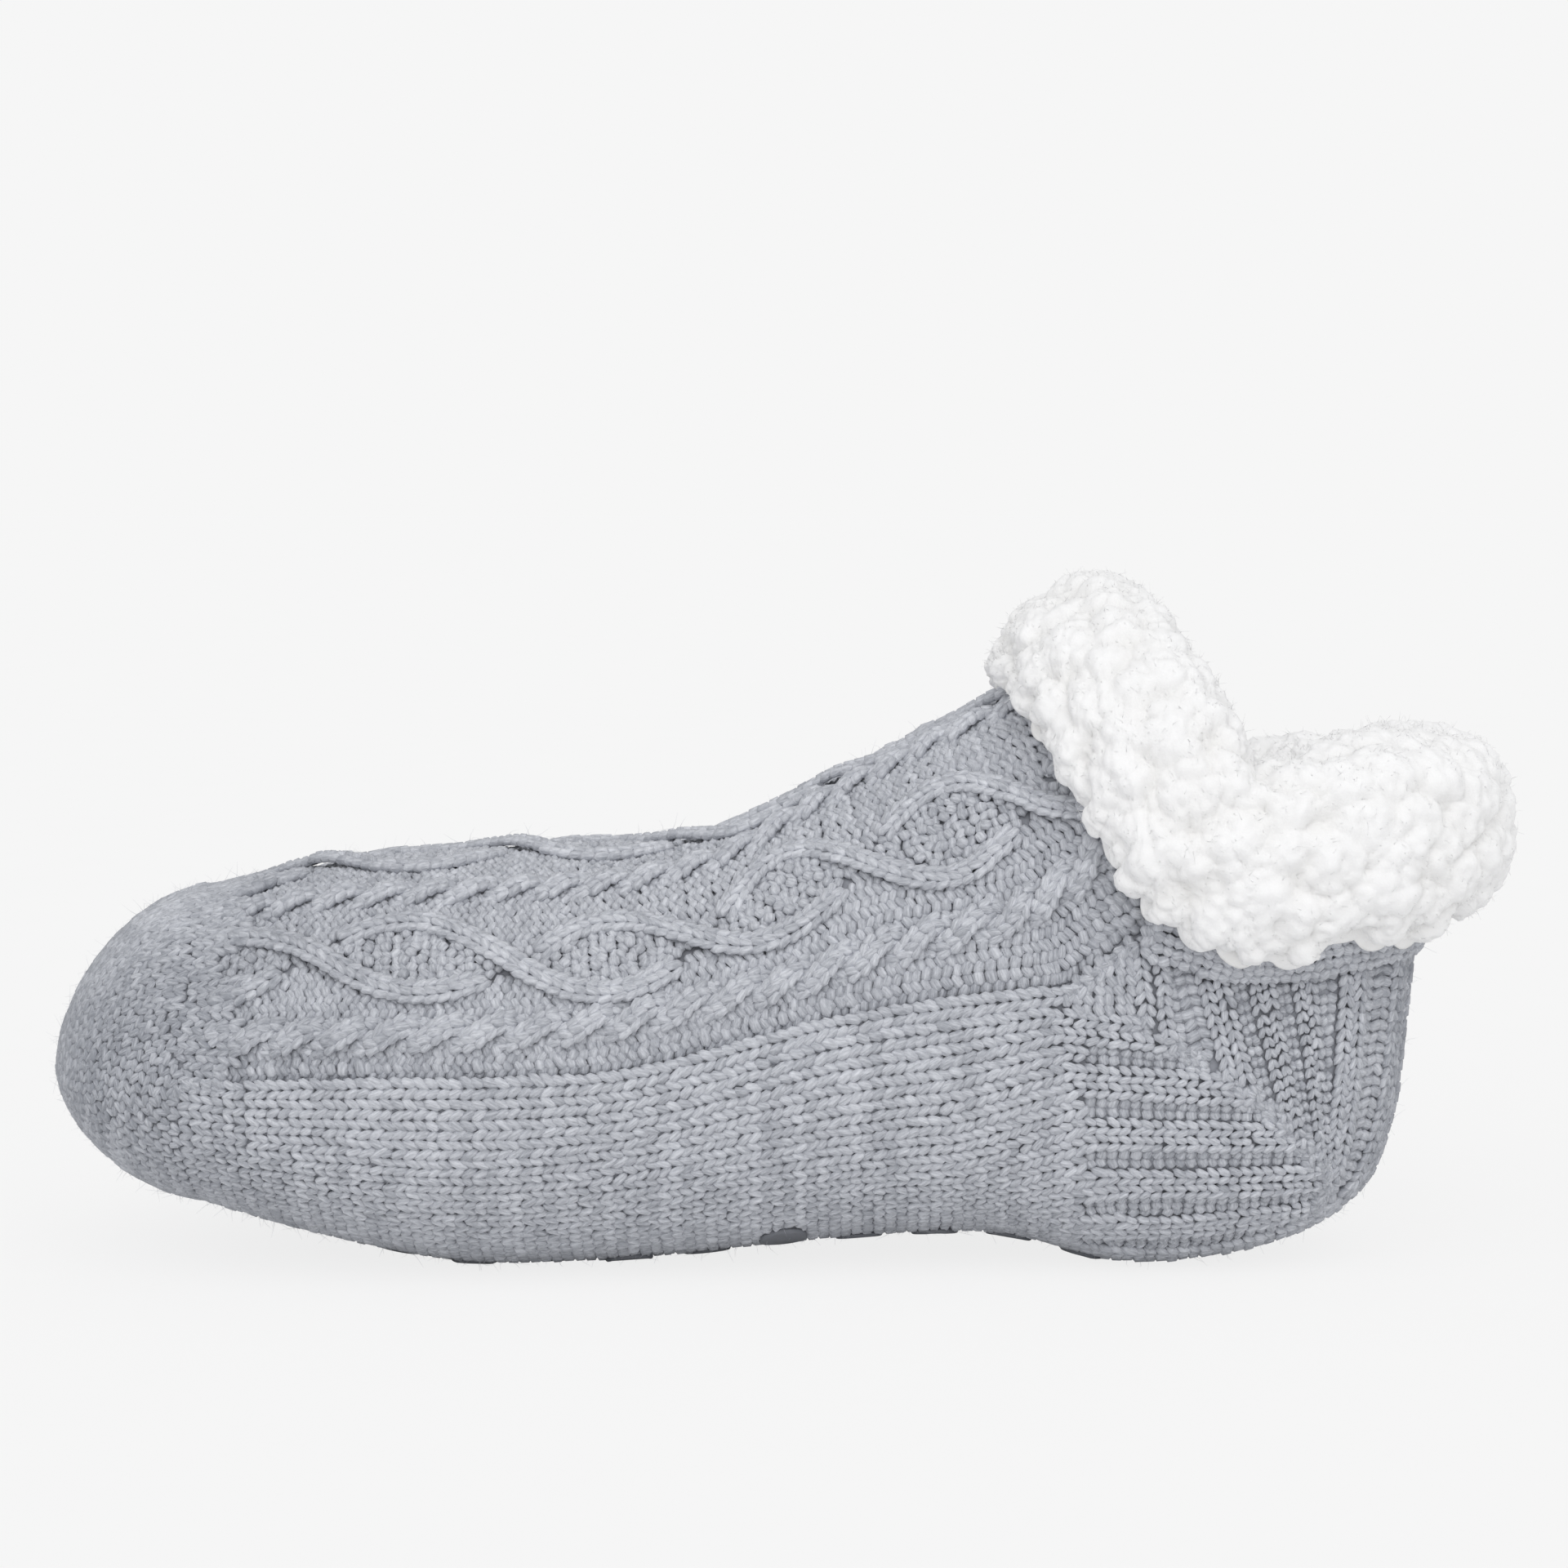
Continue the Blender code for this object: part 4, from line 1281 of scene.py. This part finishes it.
    def _ground(self, side: Side, marl: Marl) -> None:
        """Lay the purl ground of one side, with ladder bars at its edge and moss stitch in the diamonds."""
        for course, run in enumerate(np.arange(self.first_run, self.last_run, self.course)):
            at = np.array([run])
            station = self.station(at)
            width = float(self.across(station)[0])
            edge, low, diamond, high = (float(self.line(name, station)[0]) * width for name in
                                        (Line.EDGE, Line.LOW_ROPE, Line.DIAMOND, Line.HIGH_ROPE))
            half, swing, top = (float(self.line(name, station)[0]) for name in
                                (Line.ROPE_HALF, Line.SWING, Line.TOP_SWING))
            opening = abs(math.sin(float(self.phase(at)[0])))
            swing, top = swing * opening, top * opening
            gap = low - half - edge
            if gap < self.ladder_gap and self.batch.random.random() < self.ladder_share:
                self._ladder(station, (edge + gap / 2) / width, side, course, 0.75 * gap, marl)
            cell = float(np.interp(station[0], *self.cell_width))
            cell = (width - edge) / round((width - edge) / cell)
            cells = np.arange(edge + cell / 2, width, cell)
            # Painted shade: cells below the low rope and in the groove at the edge are painted darker, and also sunk
            # deeper
            shade = self.gap_shade * (cells < low - half) + self.groove_shade * (cells < edge + cell)
            # Cells near the toe get the painted shade that matches the toe
            shade = shade + np.interp(station, *self.toe_shade)
            free = np.abs(np.abs(cells - diamond) - swing) > self.covered
            free &= np.abs((width - cells) - top) > self.covered
            moss = (np.abs(cells - diamond) < swing) | (width - cells < top)
            column = np.arange(len(cells))
            self._row(station, cells[free] / width, side, course, column[free], moss[free], shade[free], cell, marl)

    def _room(self, station: Array, share: Array) -> Array:
        """Return how close the courses lie at shares, against the panel's middle."""
        stations = np.full(len(share), station[0])
        steps = [np.linalg.norm(self.last.at(stations + 0.05, s)[0] - self.last.at(stations - 0.05, s)[0], axis=1)
                 for s in (share, np.full(len(share), self.middle))]
        return steps[0] / steps[1]

    def _row(self, station: Array, share: Array, side: Side, course: int, column: Array, moss: Array, shade: Array,
             cell: float, marl: Marl) -> None:
        """Lay one course of purl and moss stitches, thinned where the courses crowd together."""
        if not len(share):
            return
        stations = np.full(len(share), station[0])
        room = self._room(station, share)
        roomy, fair = room > self.crowded, room > self.very_crowded
        kept = roomy | (fair & (course % 2 == 0)) | (course % 4 == 0)
        room = np.where(roomy, room, np.where(fair, 2 * room, 4 * room))[kept]
        share, column, moss, shade = share[kept], column[kept], moss[kept], shade[kept]
        point, along, across, outward = self.last.frame(stations[kept], share, side.value)
        jitter = self.batch.random.normal(size=(3, len(share), 1))
        bump = moss & ((column + course) % 2 == 0)
        way = np.where(column % 2 == 0, 1.0, -1.0)[:, None]
        lean = np.where(moss[:, None], 0.7 * jitter[2], 0.36 * way + 0.15 * jitter[2])
        aside = np.where(moss[:, None], 0.00025 * jitter[1], 0.00030 * way + 0.0001 * jitter[1])
        depth = (np.where(bump, self.moss_depth, self.ground_depth) + 0.0006 * shade)[:, None] + 0.00015 * jitter[0]
        centre = point - outward * depth + along * aside
        # The purl stitches carry their painted shade in their tone
        tone = marl.tone(np.full(len(share), course), column * cell) * 0.94 - shade
        width = np.where(bump, 0.00108, np.where(moss, 0.00100, 0.00090)) * np.clip(room, 0.8, 1.3)
        self.batch.lay(centre, across + along * lean, outward, np.where(bump, 0.0026, cell * 1.8), width,
                       np.where(bump, 0.00090, 0.00082), BAR_DIP, tone)

    def _ladder(self, station: Array, share: float, side: Side, course: int, length: float, marl: Marl) -> None:
        """Lay one bar of the ladder beside the sole."""
        point, along, across, outward = self.last.frame(station, np.array([share]), side.value)
        jitter = self.batch.random.normal(size=(3, 1, 1))
        direction = across - along * (0.25 + 0.22 * jitter[0])
        centre = point - outward * (0.0014 + 0.00020 * jitter[1]) + along * 0.00030 * jitter[2]
        tone = marl.tone(np.array([course]), np.array([0.0])) * 0.7 + 0.2 * self.batch.random.random()
        length = length * self.batch.random.uniform(0.8, 1.15)
        self.batch.lay(centre, direction, outward, length, 0.00098, 0.00088, BAR_DIP, tone)

    def build(self) -> None:
        """Make the pieces of the panel."""
        marl = Marl(seed=9)
        station = self.station(self.close_runs)
        width = self.across(station)
        for side in Side:
            name = side.name.lower()
            self._ropes(side, marl)
            fit_to_frame(self.batch.piece(f"rope_cables_{name}"), Slot.KNIT)
            self._diamonds(self.line(Line.DIAMOND, station) * width, self.line(Line.SWING, station), side, 8, marl)
            if side is Side.NEAR:
                self._diamonds(width, self.line(Line.TOP_SWING, station), side, 12, marl)
            fit_to_frame(self.batch.piece(f"diamond_cables_{name}"), Slot.KNIT)
            self._ground(side, marl)
            fit_to_frame(self.batch.piece(f"purl_ground_{name}"), Slot.KNIT)

    def hollow(self, station: Array, share: Array) -> Array:
        """Return how far the wall behind the stitches lies back for the panel, from 0 to 1."""
        rise = ramp(station, 0.1, 0.5)
        return rise * np.clip((share - self.line(Line.EDGE, station)) / 0.025 + 0.8, 0.0, 1.0)


@dataclass
class Fibres:
    """Loose fibres that stand off yarn or pile: thin, tapered and curled."""

    name: str
    finish: bpy.types.Material
    slot: Slot
    count: int
    lengths: tuple[float, float]
    radius: float
    stand: tuple[float, float]
    curl: float
    seed: int
    rings: int = 3
    sides: int = 3

    def build(self, roots: Array, along: Array, outward: Array, marks: dict[str, float]) -> None:
        """Grow fibres from some of the roots.

        Args:
            roots: Where fibres may start.
            along: A direction along the surface at each.
            outward: The outward normal at each.
            marks: Values kept at all their vertices.
        """
        random = np.random.default_rng(self.seed)
        chosen = random.choice(len(roots), min(self.count, len(roots)), replace=False)
        roots, along, outward = roots[chosen], along[chosen], outward[chosen]
        across = np.cross(outward, along)
        count = len(roots)
        lean = random.normal(size=(2, count, 1))
        start = unit(along * lean[0] * 0.8 + across * lean[1] * 0.6 + outward * random.uniform(*self.stand, (count, 1)))
        bend = unit(random.normal(size=(count, 3))) * self.curl
        length = random.uniform(*self.lengths, (count, 1))
        side = unit(np.cross(start, unit(random.normal(size=(count, 3)))))
        other = np.cross(start, side)
        angles = np.arange(self.sides) * 2 * math.pi / self.sides
        rings = []
        for ring in range(self.rings):
            share = ring / (self.rings - 1)
            middle = roots + length * (start * share + bend * share * share)
            radius = self.radius * (1 - 0.75 * share)
            corners = [middle + radius * (side * math.cos(a) + other * math.sin(a)) for a in angles]
            rings.append(np.stack(corners, axis=1))
        points = np.stack(rings, axis=1).reshape(-1, 3)
        points[:, 2] = np.maximum(points[:, 2], 0.0)
        tube = grid_triangles(self.rings, self.sides, False, True)
        last = (self.rings - 1) * self.sides
        tube = np.concatenate([tube, [[0, 1, 2]], [[last + 2, last + 1, last]]])
        each = self.rings * self.sides
        tube = facing_out(points[:each] - points[:each].mean(axis=0), tube)
        triangles = (tube[None] + np.arange(count)[:, None, None] * each).reshape(-1, 3)
        values = {label: np.full(len(points), value) for label, value in marks.items()}
        if "tone" in marks:
            values["yarn"] = np.repeat(random.random((count, 3)) * 50.0, each, axis=0)
        fit_to_frame(mesh_piece(self.name, points, triangles, self.finish, values), self.slot)


@dataclass
class KnitWall:
    """The wall behind the stitches, a hollow sock that is open at the collar."""

    last: Last
    panel: CablePanel
    finish: bpy.types.Material
    plain_depth: float = 0.0013
    rib_depth: float = 0.0018
    panel_depth: float = 0.0025
    lining_depth: float = 0.0040
    toe_rows: int = 25
    rows: int = 100
    columns: int = 66

    def build(self) -> None:
        """Make the wall as one closed piece."""
        shares, sides = around_sock(self.columns)
        station = stations_from_tip(self.toe_rows, self.rows, COLLAR)[:, None]
        hollow = self.panel.hollow(station, shares)
        ribbed = ramp(station, 5.0, 1.5)
        plain = self.plain_depth + ribbed * (self.rib_depth - self.plain_depth)
        depth = plain + hollow * (self.panel_depth - plain)
        outside = self.last.at(station, shares, sides, -depth)[0]
        inside = self.last.at(station[::-1], shares, sides, -self.lining_depth)[0]
        fit_to_frame(shell_piece("knit_wall", outside, inside, self.finish), Slot.KNIT, "knit_body")


@dataclass
class Collar:
    """Places around the collar, by height above the rim and distance off the wall."""

    last: Last
    reach: float = 4.0
    points: int = 80

    def place(self, share: float, side: float, height: Array, off: Array) -> Array:
        """Return points beside the collar.

        Args:
            share: The share around the collar.
            side: 1 or -1.
            height: Heights above the rim; below it they follow the wall.
            off: Distances off the wall.

        Returns:
            One point for each height.
        """
        stations = np.linspace(COLLAR, COLLAR - self.reach, self.points)
        length = running_length(self.last.at(stations, share, side)[0])
        station = np.interp(np.maximum(-height, 0.0), length, stations)
        point = self.last.at(station, share, side, off - self.last.yarn_rise)[0]
        rim = self.last.at(np.array([COLLAR, COLLAR - 0.08]), share, side)[0]
        return point + unit(rim[0] - rim[1]) * np.maximum(height, 0.0)[:, None]

    def fold(self, share: float, side: float) -> tuple[float, ...]:
        """Return the cuff's flap, outward reach, inward reach and rise at a share of one side."""
        columns = np.array(FOLDS).T
        flap, out, inward, rise = (float(np.interp(share, columns[0], column)) for column in columns[1:])
        shares, near, far = SETTLE
        rise += float(np.interp(share, shares, near)) if side > 0 else -float(np.interp(share, shares, far))
        return flap, out, inward, rise


@dataclass
class Tufts:
    """Round tufts of pile that are scattered over a surface."""

    spacing: float
    radius: float
    rise: float
    seed: int
    tries: int = 26

    def scatter(self, points: Array) -> tuple[Array, Array]:
        """Return middles that keep their spacing, with a size for each."""
        random = np.random.default_rng(self.seed)
        chosen = np.empty((0, 3))
        for point in points[random.permutation(len(points))[:self.tries * self._expected(points)]]:
            if not len(chosen) or np.min(np.sum((chosen - point) ** 2, axis=1)) > self.spacing ** 2:
                chosen = np.vstack([chosen, point])
        return chosen, random.uniform(0.75, 1.25, len(chosen))

    def _expected(self, points: Array) -> int:
        """Return about how many tufts fit on a surface of evenly spread points."""
        spread = np.ptp(points, axis=0)
        return int(min(len(points) / self.tries, 3.0 * spread[0] * spread[1] / self.spacing ** 2 + 50))

    def lift(self, points: Array, warped: Array) -> Array:
        """Return the rise of the pile at points, from rounded tufts with creases between them."""
        middles, sizes = self.scatter(points)
        tree = kdtree.KDTree(len(middles))
        for number, middle in enumerate(middles):
            tree.insert(middle, number)
        tree.balance()
        rise = np.zeros(len(points))
        for place, point in enumerate(warped):
            best = 0.0
            for _, number, distance in tree.find_n(point, 3):
                share = distance / (self.radius * sizes[number])
                if share < 1.0:
                    best = max(best, sizes[number] * (1.0 - share * share) ** 0.65)
            rise[place] = best
        return rise * self.rise


def warp(points: Array, size: float, reach: float) -> Array:
    """Return points moved about by smooth noise, so that tufts lose their even shape."""
    return points + reach * np.array([noise.noise_vector(Vector(point / size)) for point in points])


@dataclass
class SherpaCuff:
    """The turned-down cuff: one roll of sherpa pile over the collar's rim."""

    collar: Collar
    finish: bpy.types.Material
    around: int = 285
    across: int = 150
    slot_points: int = 10
    wall: float = 0.0032
    slot_gap: float = 0.0003
    skirt: float = 0.0140
    locks: int = 30
    lock_drop: tuple[float, float] = (0.0002, 0.0030)
    layers: Table = (
        (0.0078, 0.0060, 0.0022), (0.0038, 0.0030, 0.0011), (0.0019, 0.0015, 0.0005))
    full_lift: float = 0.0034

    def __post_init__(self) -> None:
        """Draw the locks that hang from the flap's edge."""
        self.random = np.random.default_rng(71)
        self.lock_rows = {}
        for side in Side:
            middles = np.linspace(SOLE, RIDGE, self.locks) + self.random.uniform(-0.03, 0.03, self.locks)
            drops = self.random.uniform(*self.lock_drop, self.locks)
            self.lock_rows[side.value] = np.stack([middles, drops])

    def _lock(self, share: float, side: float) -> float:
        """Return how much further the flap hangs at a share."""
        middles, drops = self.lock_rows[side]
        near = np.maximum(0.0, 1 - ((share - middles) / (1.35 / self.locks)) ** 2)
        return float(np.max(drops * near ** 0.7))

    def _outline(self, share: float, side: float) -> tuple[Array, Array]:
        """Return the heights and distances off the wall of the roll's outline, from its flap to its skirt."""
        flap, out, inward, top = self.collar.fold(share, side)
        flap += self._lock(share, side)
        rows = []
        for rise, drop, inside, outside in ROLL[::-1]:
            height = rise * top - drop * (flap if outside else 2 * self.skirt)
            rows.append((height, outside * out if outside else -self.wall - inside * inward))
        return tuple(smooth_curve(np.array(rows), np.linspace(0, len(rows) - 1, self.across)).T)

    def _loop(self, share: float, side: float) -> Array:
        """Return one closed outline of the roll."""
        height, off = self._outline(share, side)
        flap = self.collar.fold(share, side)[0]
        inner = np.linspace(-self.skirt, self.slot_gap, self.slot_points // 2)
        outer = np.linspace(self.slot_gap, -flap, self.slot_points // 2)
        heights = np.concatenate([height, inner, outer])
        within, beyond = np.full(len(inner), -self.wall - self.slot_gap), np.full(len(outer), self.slot_gap)
        offs = np.concatenate([off, within, beyond])
        return self.collar.place(share, side, heights, offs)

    def build(self) -> None:
        """Make the cuff as one closed piece, with its loose fibres."""
        shares, sides = around_sock(self.around)
        grid = np.array([self._loop(share, side) for share, side in zip(shares[0], sides[0])])
        wrapped = np.pad(grid, ((1, 1), (1, 1), (0, 0)), mode="wrap")
        around = unit(wrapped[2:, 1:-1] - wrapped[:-2, 1:-1])
        normal = unit(np.cross(around, wrapped[1:-1, 2:] - wrapped[1:-1, :-2]))
        triangles = grid_triangles(len(grid), grid.shape[1], True, True)
        flat = grid.reshape(-1, 3)
        turned = facing_out(flat, triangles)
        if turned is not triangles:
            normal = -normal
        shown = np.zeros(grid.shape[1])
        steps = np.arange(self.across)
        shown[:self.across] = np.clip(np.minimum(steps, self.across - 1 - steps) / 6, 0, 1)
        pile = np.tile(shown > 0.0, len(grid))
        lift = np.zeros(len(flat))
        bent = warp(flat[pile], 0.006, 0.0012)
        for number, (spacing, radius, rise) in enumerate(self.layers):
            lift[pile] += Tufts(spacing, radius, rise, 31 + number).lift(flat[pile], bent)
        # The loft also sets the pile's painted crease shade
        loft = np.clip(lift / self.full_lift, 0.0, 1.0)
        move = (lift - lift[pile].mean()).reshape(grid.shape[:2]) * shown[None, :]
        points = (grid + normal * move[..., None]).reshape(-1, 3)
        cuff = mesh_piece("sherpa_roll", points, turned, self.finish, {"loft": loft})
        fit_to_frame(cuff, Slot.FLEECE, "sherpa_cuff")
        curls = Fibres("pile_fibres", self.finish, Slot.FLEECE, 6500, (0.0005, 0.0013), 0.00007, (0.1, 0.5), 1.2, 81)
        solid = np.tile(shown > 0.9, len(grid))
        around, normal = (vectors.reshape(-1, 3)[solid] for vectors in (around, normal))
        curls.build(points[solid], around, normal, {"loft": 1.0})


@dataclass
class FleeceLining:
    """The sherpa lining inside the whole sock."""

    last: Last
    finish: bpy.types.Material
    wall: float = 0.0041
    pile: float = 0.0022
    below_rim: float = 0.3
    tuft_rise: float = 0.0018
    tip_fade: float = 0.6
    toe_rows: int = 13
    rows: int = 84
    columns: int = 42

    def build(self) -> None:
        """Make the lining as one closed piece."""
        shares, sides = around_sock(self.columns)
        station = stations_from_tip(self.toe_rows, self.rows, COLLAR - self.below_rim)[:, None]
        inside, normal = self.last.at(station, shares, sides, -self.wall - self.pile)
        flat = inside.reshape(-1, 3)
        lift = Tufts(0.0060, 0.0052, self.tuft_rise, 41).lift(flat, warp(flat, 0.006, 0.0010))
        move = lift.reshape(inside.shape[:2]) * ramp(station, TIP, self.tip_fade)
        inside = inside - normal * move[..., None]
        back = self.last.at(station[::-1], shares, sides, -self.wall)[0]
        # The loft also sets the lining's painted crease shade
        loft = np.concatenate([np.clip(lift / self.tuft_rise, 0, 1), np.zeros(len(flat))])
        fit_to_frame(shell_piece("fleece_lining", inside, back, self.finish, {"loft": loft}), Slot.FLEECE)


@dataclass
class HemRoll:
    """The rolled knit hem under the rear of the flap."""

    collar: Collar
    batch: StitchBatch
    front: float = 0.0
    tuck: float = 0.0035
    thick: float = 0.0040
    pitch: float = 0.0019
    rows: int = 6
    line_points: int = 220
    off_step: float = 0.001
    lean: float = 0.45

    def _row(self, row: int, side: Side) -> tuple[Array, Array]:
        """Return the line of one row of stitches around the hem, with its outward directions."""
        share_down = (row + 0.5) / self.rows
        off = self.thick * (0.25 + 0.45 * math.sin(math.pi * share_down))
        line, out = [], []
        for share in np.linspace(SOLE, self.front, self.line_points):
            high = self.collar.fold(share, side.value)[0] - self.tuck
            low = float(np.interp(share, *HEM_EDGE))
            heights = -(high + (low - high) * share_down) * np.ones(2)
            pair = self.collar.place(share, side.value, heights, np.array([off, off + self.off_step]))
            line.append(pair[0])
            out.append(pair[1] - pair[0])
        return np.array(line), unit(np.array(out))

    def build(self) -> None:
        """Make the hem as one piece of purl stitches."""
        batch, marl = self.batch, Marl(seed=13)
        for side in Side:
            for row in range(self.rows):
                line, out = self._row(row, side)
                length = running_length(line)
                places = np.arange(self.pitch * (0.5 + 0.5 * (row % 2)), length[-1], self.pitch)
                centre = along_line(places, length, line)
                outward = unit(along_line(places, length, out))
                along = unit(np.gradient(centre, axis=0))
                across = np.cross(outward, along)
                jitter = batch.random.normal(size=(3, len(centre), 1))
                way = np.where(np.arange(len(centre)) % 2 == 0, self.lean, -self.lean)[:, None]
                tone = marl.tone(np.full(len(centre), row), places)
                batch.lay(centre + outward * (0.00012 * jitter[1]) + across * (0.00015 * jitter[2]),
                          along + across * (way + 0.15 * jitter[0]), outward, 0.0029, 0.00112, 0.00090, BAR_DIP, tone)
        fit_to_frame(batch.piece("hem_stitches"), Slot.KNIT, "knit_hem")


@dataclass
class GripDots:
    """Rounded pads of grip compound on the sole."""

    nodes: dict[str, bpy.types.Object]
    finish: bpy.types.Material
    radius: float = 0.0045
    rise: float = 0.0009
    gap: float = 0.00045
    below: float = -1.0
    corners: int = 28
    bevel: float = 0.55
    bevel_steps: int = 3

    def _model(self) -> tuple[Array, Array]:
        """Model one dot as a bevelled disc and return its points and triangles."""
        bpy.ops.object.select_all(action="DESELECT")
        bpy.ops.mesh.primitive_cylinder_add(vertices=self.corners, radius=self.radius, depth=self.rise)
        model = bpy.context.object
        bpy.ops.object.mode_set(mode="EDIT")
        bpy.ops.mesh.select_all(action="DESELECT")
        bpy.ops.object.mode_set(mode="OBJECT")
        for face in model.data.polygons:
            face.select = face.normal.z < -0.5
        bpy.ops.object.mode_set(mode="EDIT")
        bpy.ops.mesh.bevel(offset=self.rise * self.bevel, segments=self.bevel_steps, affect="EDGES")
        return taken_apart(model)

    def build(self) -> None:
        """Make all dots as one piece that follows the sole."""
        body = self.nodes["knit_body"].data
        tree = BVHTree.FromPolygons([vert.co for vert in body.vertices], [face.vertices for face in body.polygons])
        shape, faces = self._model()
        names = sorted(name for name in self.nodes if name.startswith("grip_dot"))
        points, triangles = [], []
        for number, name in enumerate(names):
            low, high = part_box(name)
            middle = (low + high) / 2
            for corner in shape:
                start = Vector((middle.x + corner[0], middle.y + corner[1], self.below))
                hit, normal = tree.ray_cast(start, Vector((0.0, 0.0, 1.0)))[:2]
                point = hit + normal * (self.gap + self.rise / 2 - corner[2])
                points.append((point.x, point.y, max(point.z, 0.0)))
            triangles.append(faces + number * len(shape))
        dots = mesh_piece("grip_dots", np.array(points), np.concatenate(triangles), self.finish)
        fit_to_frame(dots, Slot.GRIP, *names)


@dataclass
class Studio:
    """Pale floor, soft light and the camera at the photograph's angle."""

    finish: bpy.types.Material
    camera_at: tuple[float, float, float] = (0.0002, 0.700, 0.156)
    camera_to: tuple[float, float, float] = (0.0002, 0.0, 0.0892)
    lens: float = 85.06
    sensor: float = 36.0
    clip_start: float = 0.01
    floor_size: float = 12.0
    paper: float = 0.9216
    sky: float = 0.60
    key: float = 1.40
    key_angle: float = math.radians(75.0)
    key_turn: tuple[float, float, float] = (math.radians(-48.0), 0.0, 0.0)

    def floor(self) -> None:
        """Lay the floor."""
        bpy.ops.object.select_all(action="DESELECT")
        bpy.ops.mesh.primitive_plane_add(size=self.floor_size)
        floor = bpy.context.object
        floor.name = "floor"
        floor.data.materials.append(self.finish)

    def light(self) -> None:
        """Light the scene with a pale sky and one broad soft key."""
        scene = bpy.context.scene
        scene.world = scene.world or bpy.data.worlds.new("studio")
        scene.world.use_nodes = True
        tree = scene.world.node_tree
        tree.nodes.clear()
        path, mix = tree.nodes.new("ShaderNodeLightPath"), tree.nodes.new("ShaderNodeMixShader")
        out = tree.nodes.new("ShaderNodeOutputWorld")
        for number, level in ((1, self.sky), (2, self.paper)):
            shade = tree.nodes.new("ShaderNodeBackground")
            shade.inputs["Color"].default_value = (level, level, level, 1.0)
            tree.links.new(shade.outputs[0], mix.inputs[number])
        tree.links.new(path.outputs["Is Camera Ray"], mix.inputs[0])
        tree.links.new(mix.outputs[0], out.inputs["Surface"])
        key = bpy.data.lights.new("key", "SUN")
        key.energy = self.key
        key.angle = self.key_angle
        lamp = bpy.data.objects.new("key", key)
        lamp.rotation_euler = self.key_turn
        scene.collection.objects.link(lamp)
        scene.view_settings.view_transform = "Standard"

    def camera(self) -> None:
        """Set the camera."""
        data = bpy.data.cameras.new("camera")
        data.lens, data.sensor_width, data.clip_start = self.lens, self.sensor, self.clip_start
        camera = bpy.data.objects.new("camera", data)
        camera.location = self.camera_at
        view = Vector(self.camera_to) - Vector(self.camera_at)
        camera.rotation_euler = view.to_track_quat("-Z", "Y").to_euler()
        bpy.context.scene.collection.objects.link(camera)
        bpy.context.scene.camera = camera

    def build(self) -> None:
        """Set up the whole studio."""
        self.floor()
        self.light()
        self.camera()


def main() -> None:
    """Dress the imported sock."""
    logging.basicConfig(level=logging.INFO, format="%(message)s")
    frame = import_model()
    yarn = YarnFinish("grey_marl_yarn", (0.312, 0.326, 0.362), (0.75, 0.767, 0.815)).material()
    # Painted shade: the backing's colours are darker than the yarn, standing for the shadow between stitches
    backing = BackingFinish("knit_backing", (0.27, 0.28, 0.31), (0.39, 0.40, 0.44)).material()
    # The darker colour is the pile's painted crease shade
    pile = FleeceFinish("sherpa_pile", (0.80, 0.795, 0.785), (0.872, 0.872, 0.878))
    # Painted light: the lining glows more, so its shaded inside reads as pale pile
    fleece, lining = pile.material(), replace(pile, name="lining_pile", glow=0.16).material()
    grip = GripFinish("grip_compound", (0.141, 0.148, 0.168), (0.205, 0.213, 0.233)).material()
    paper = FloorFinish("pale_paper", (0.110, 0.110, 0.110), (0.116, 0.116, 0.116), (0.92, 0.92, 0.92)).material()
    Studio(paper).build()
    last = Last(toe_end=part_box("knit_body")[1].x)
    collar = Collar(last)
    batch = StitchBatch(yarn, seed=11)
    panel = CablePanel(last, batch)
    PlainKnit(last, panel, batch).build()
    panel.build()
    KnitWall(last, panel, backing).build()
    HemRoll(collar, batch).build()
    roots = [np.concatenate(values) for values in zip(*batch.roots)]
    fuzz = Fibres("yarn_fuzz", yarn, Slot.KNIT, 7500, (0.0008, 0.0022), 0.000035, (0.1, 0.6), 1.0, 61)
    fuzz.build(*roots, {"tone": 0.85})
    SherpaCuff(collar, fleece).build()
    FleeceLining(last, lining).build()
    GripDots(frame["nodes"], grip).build()


if __name__ == "__main__":
    main()
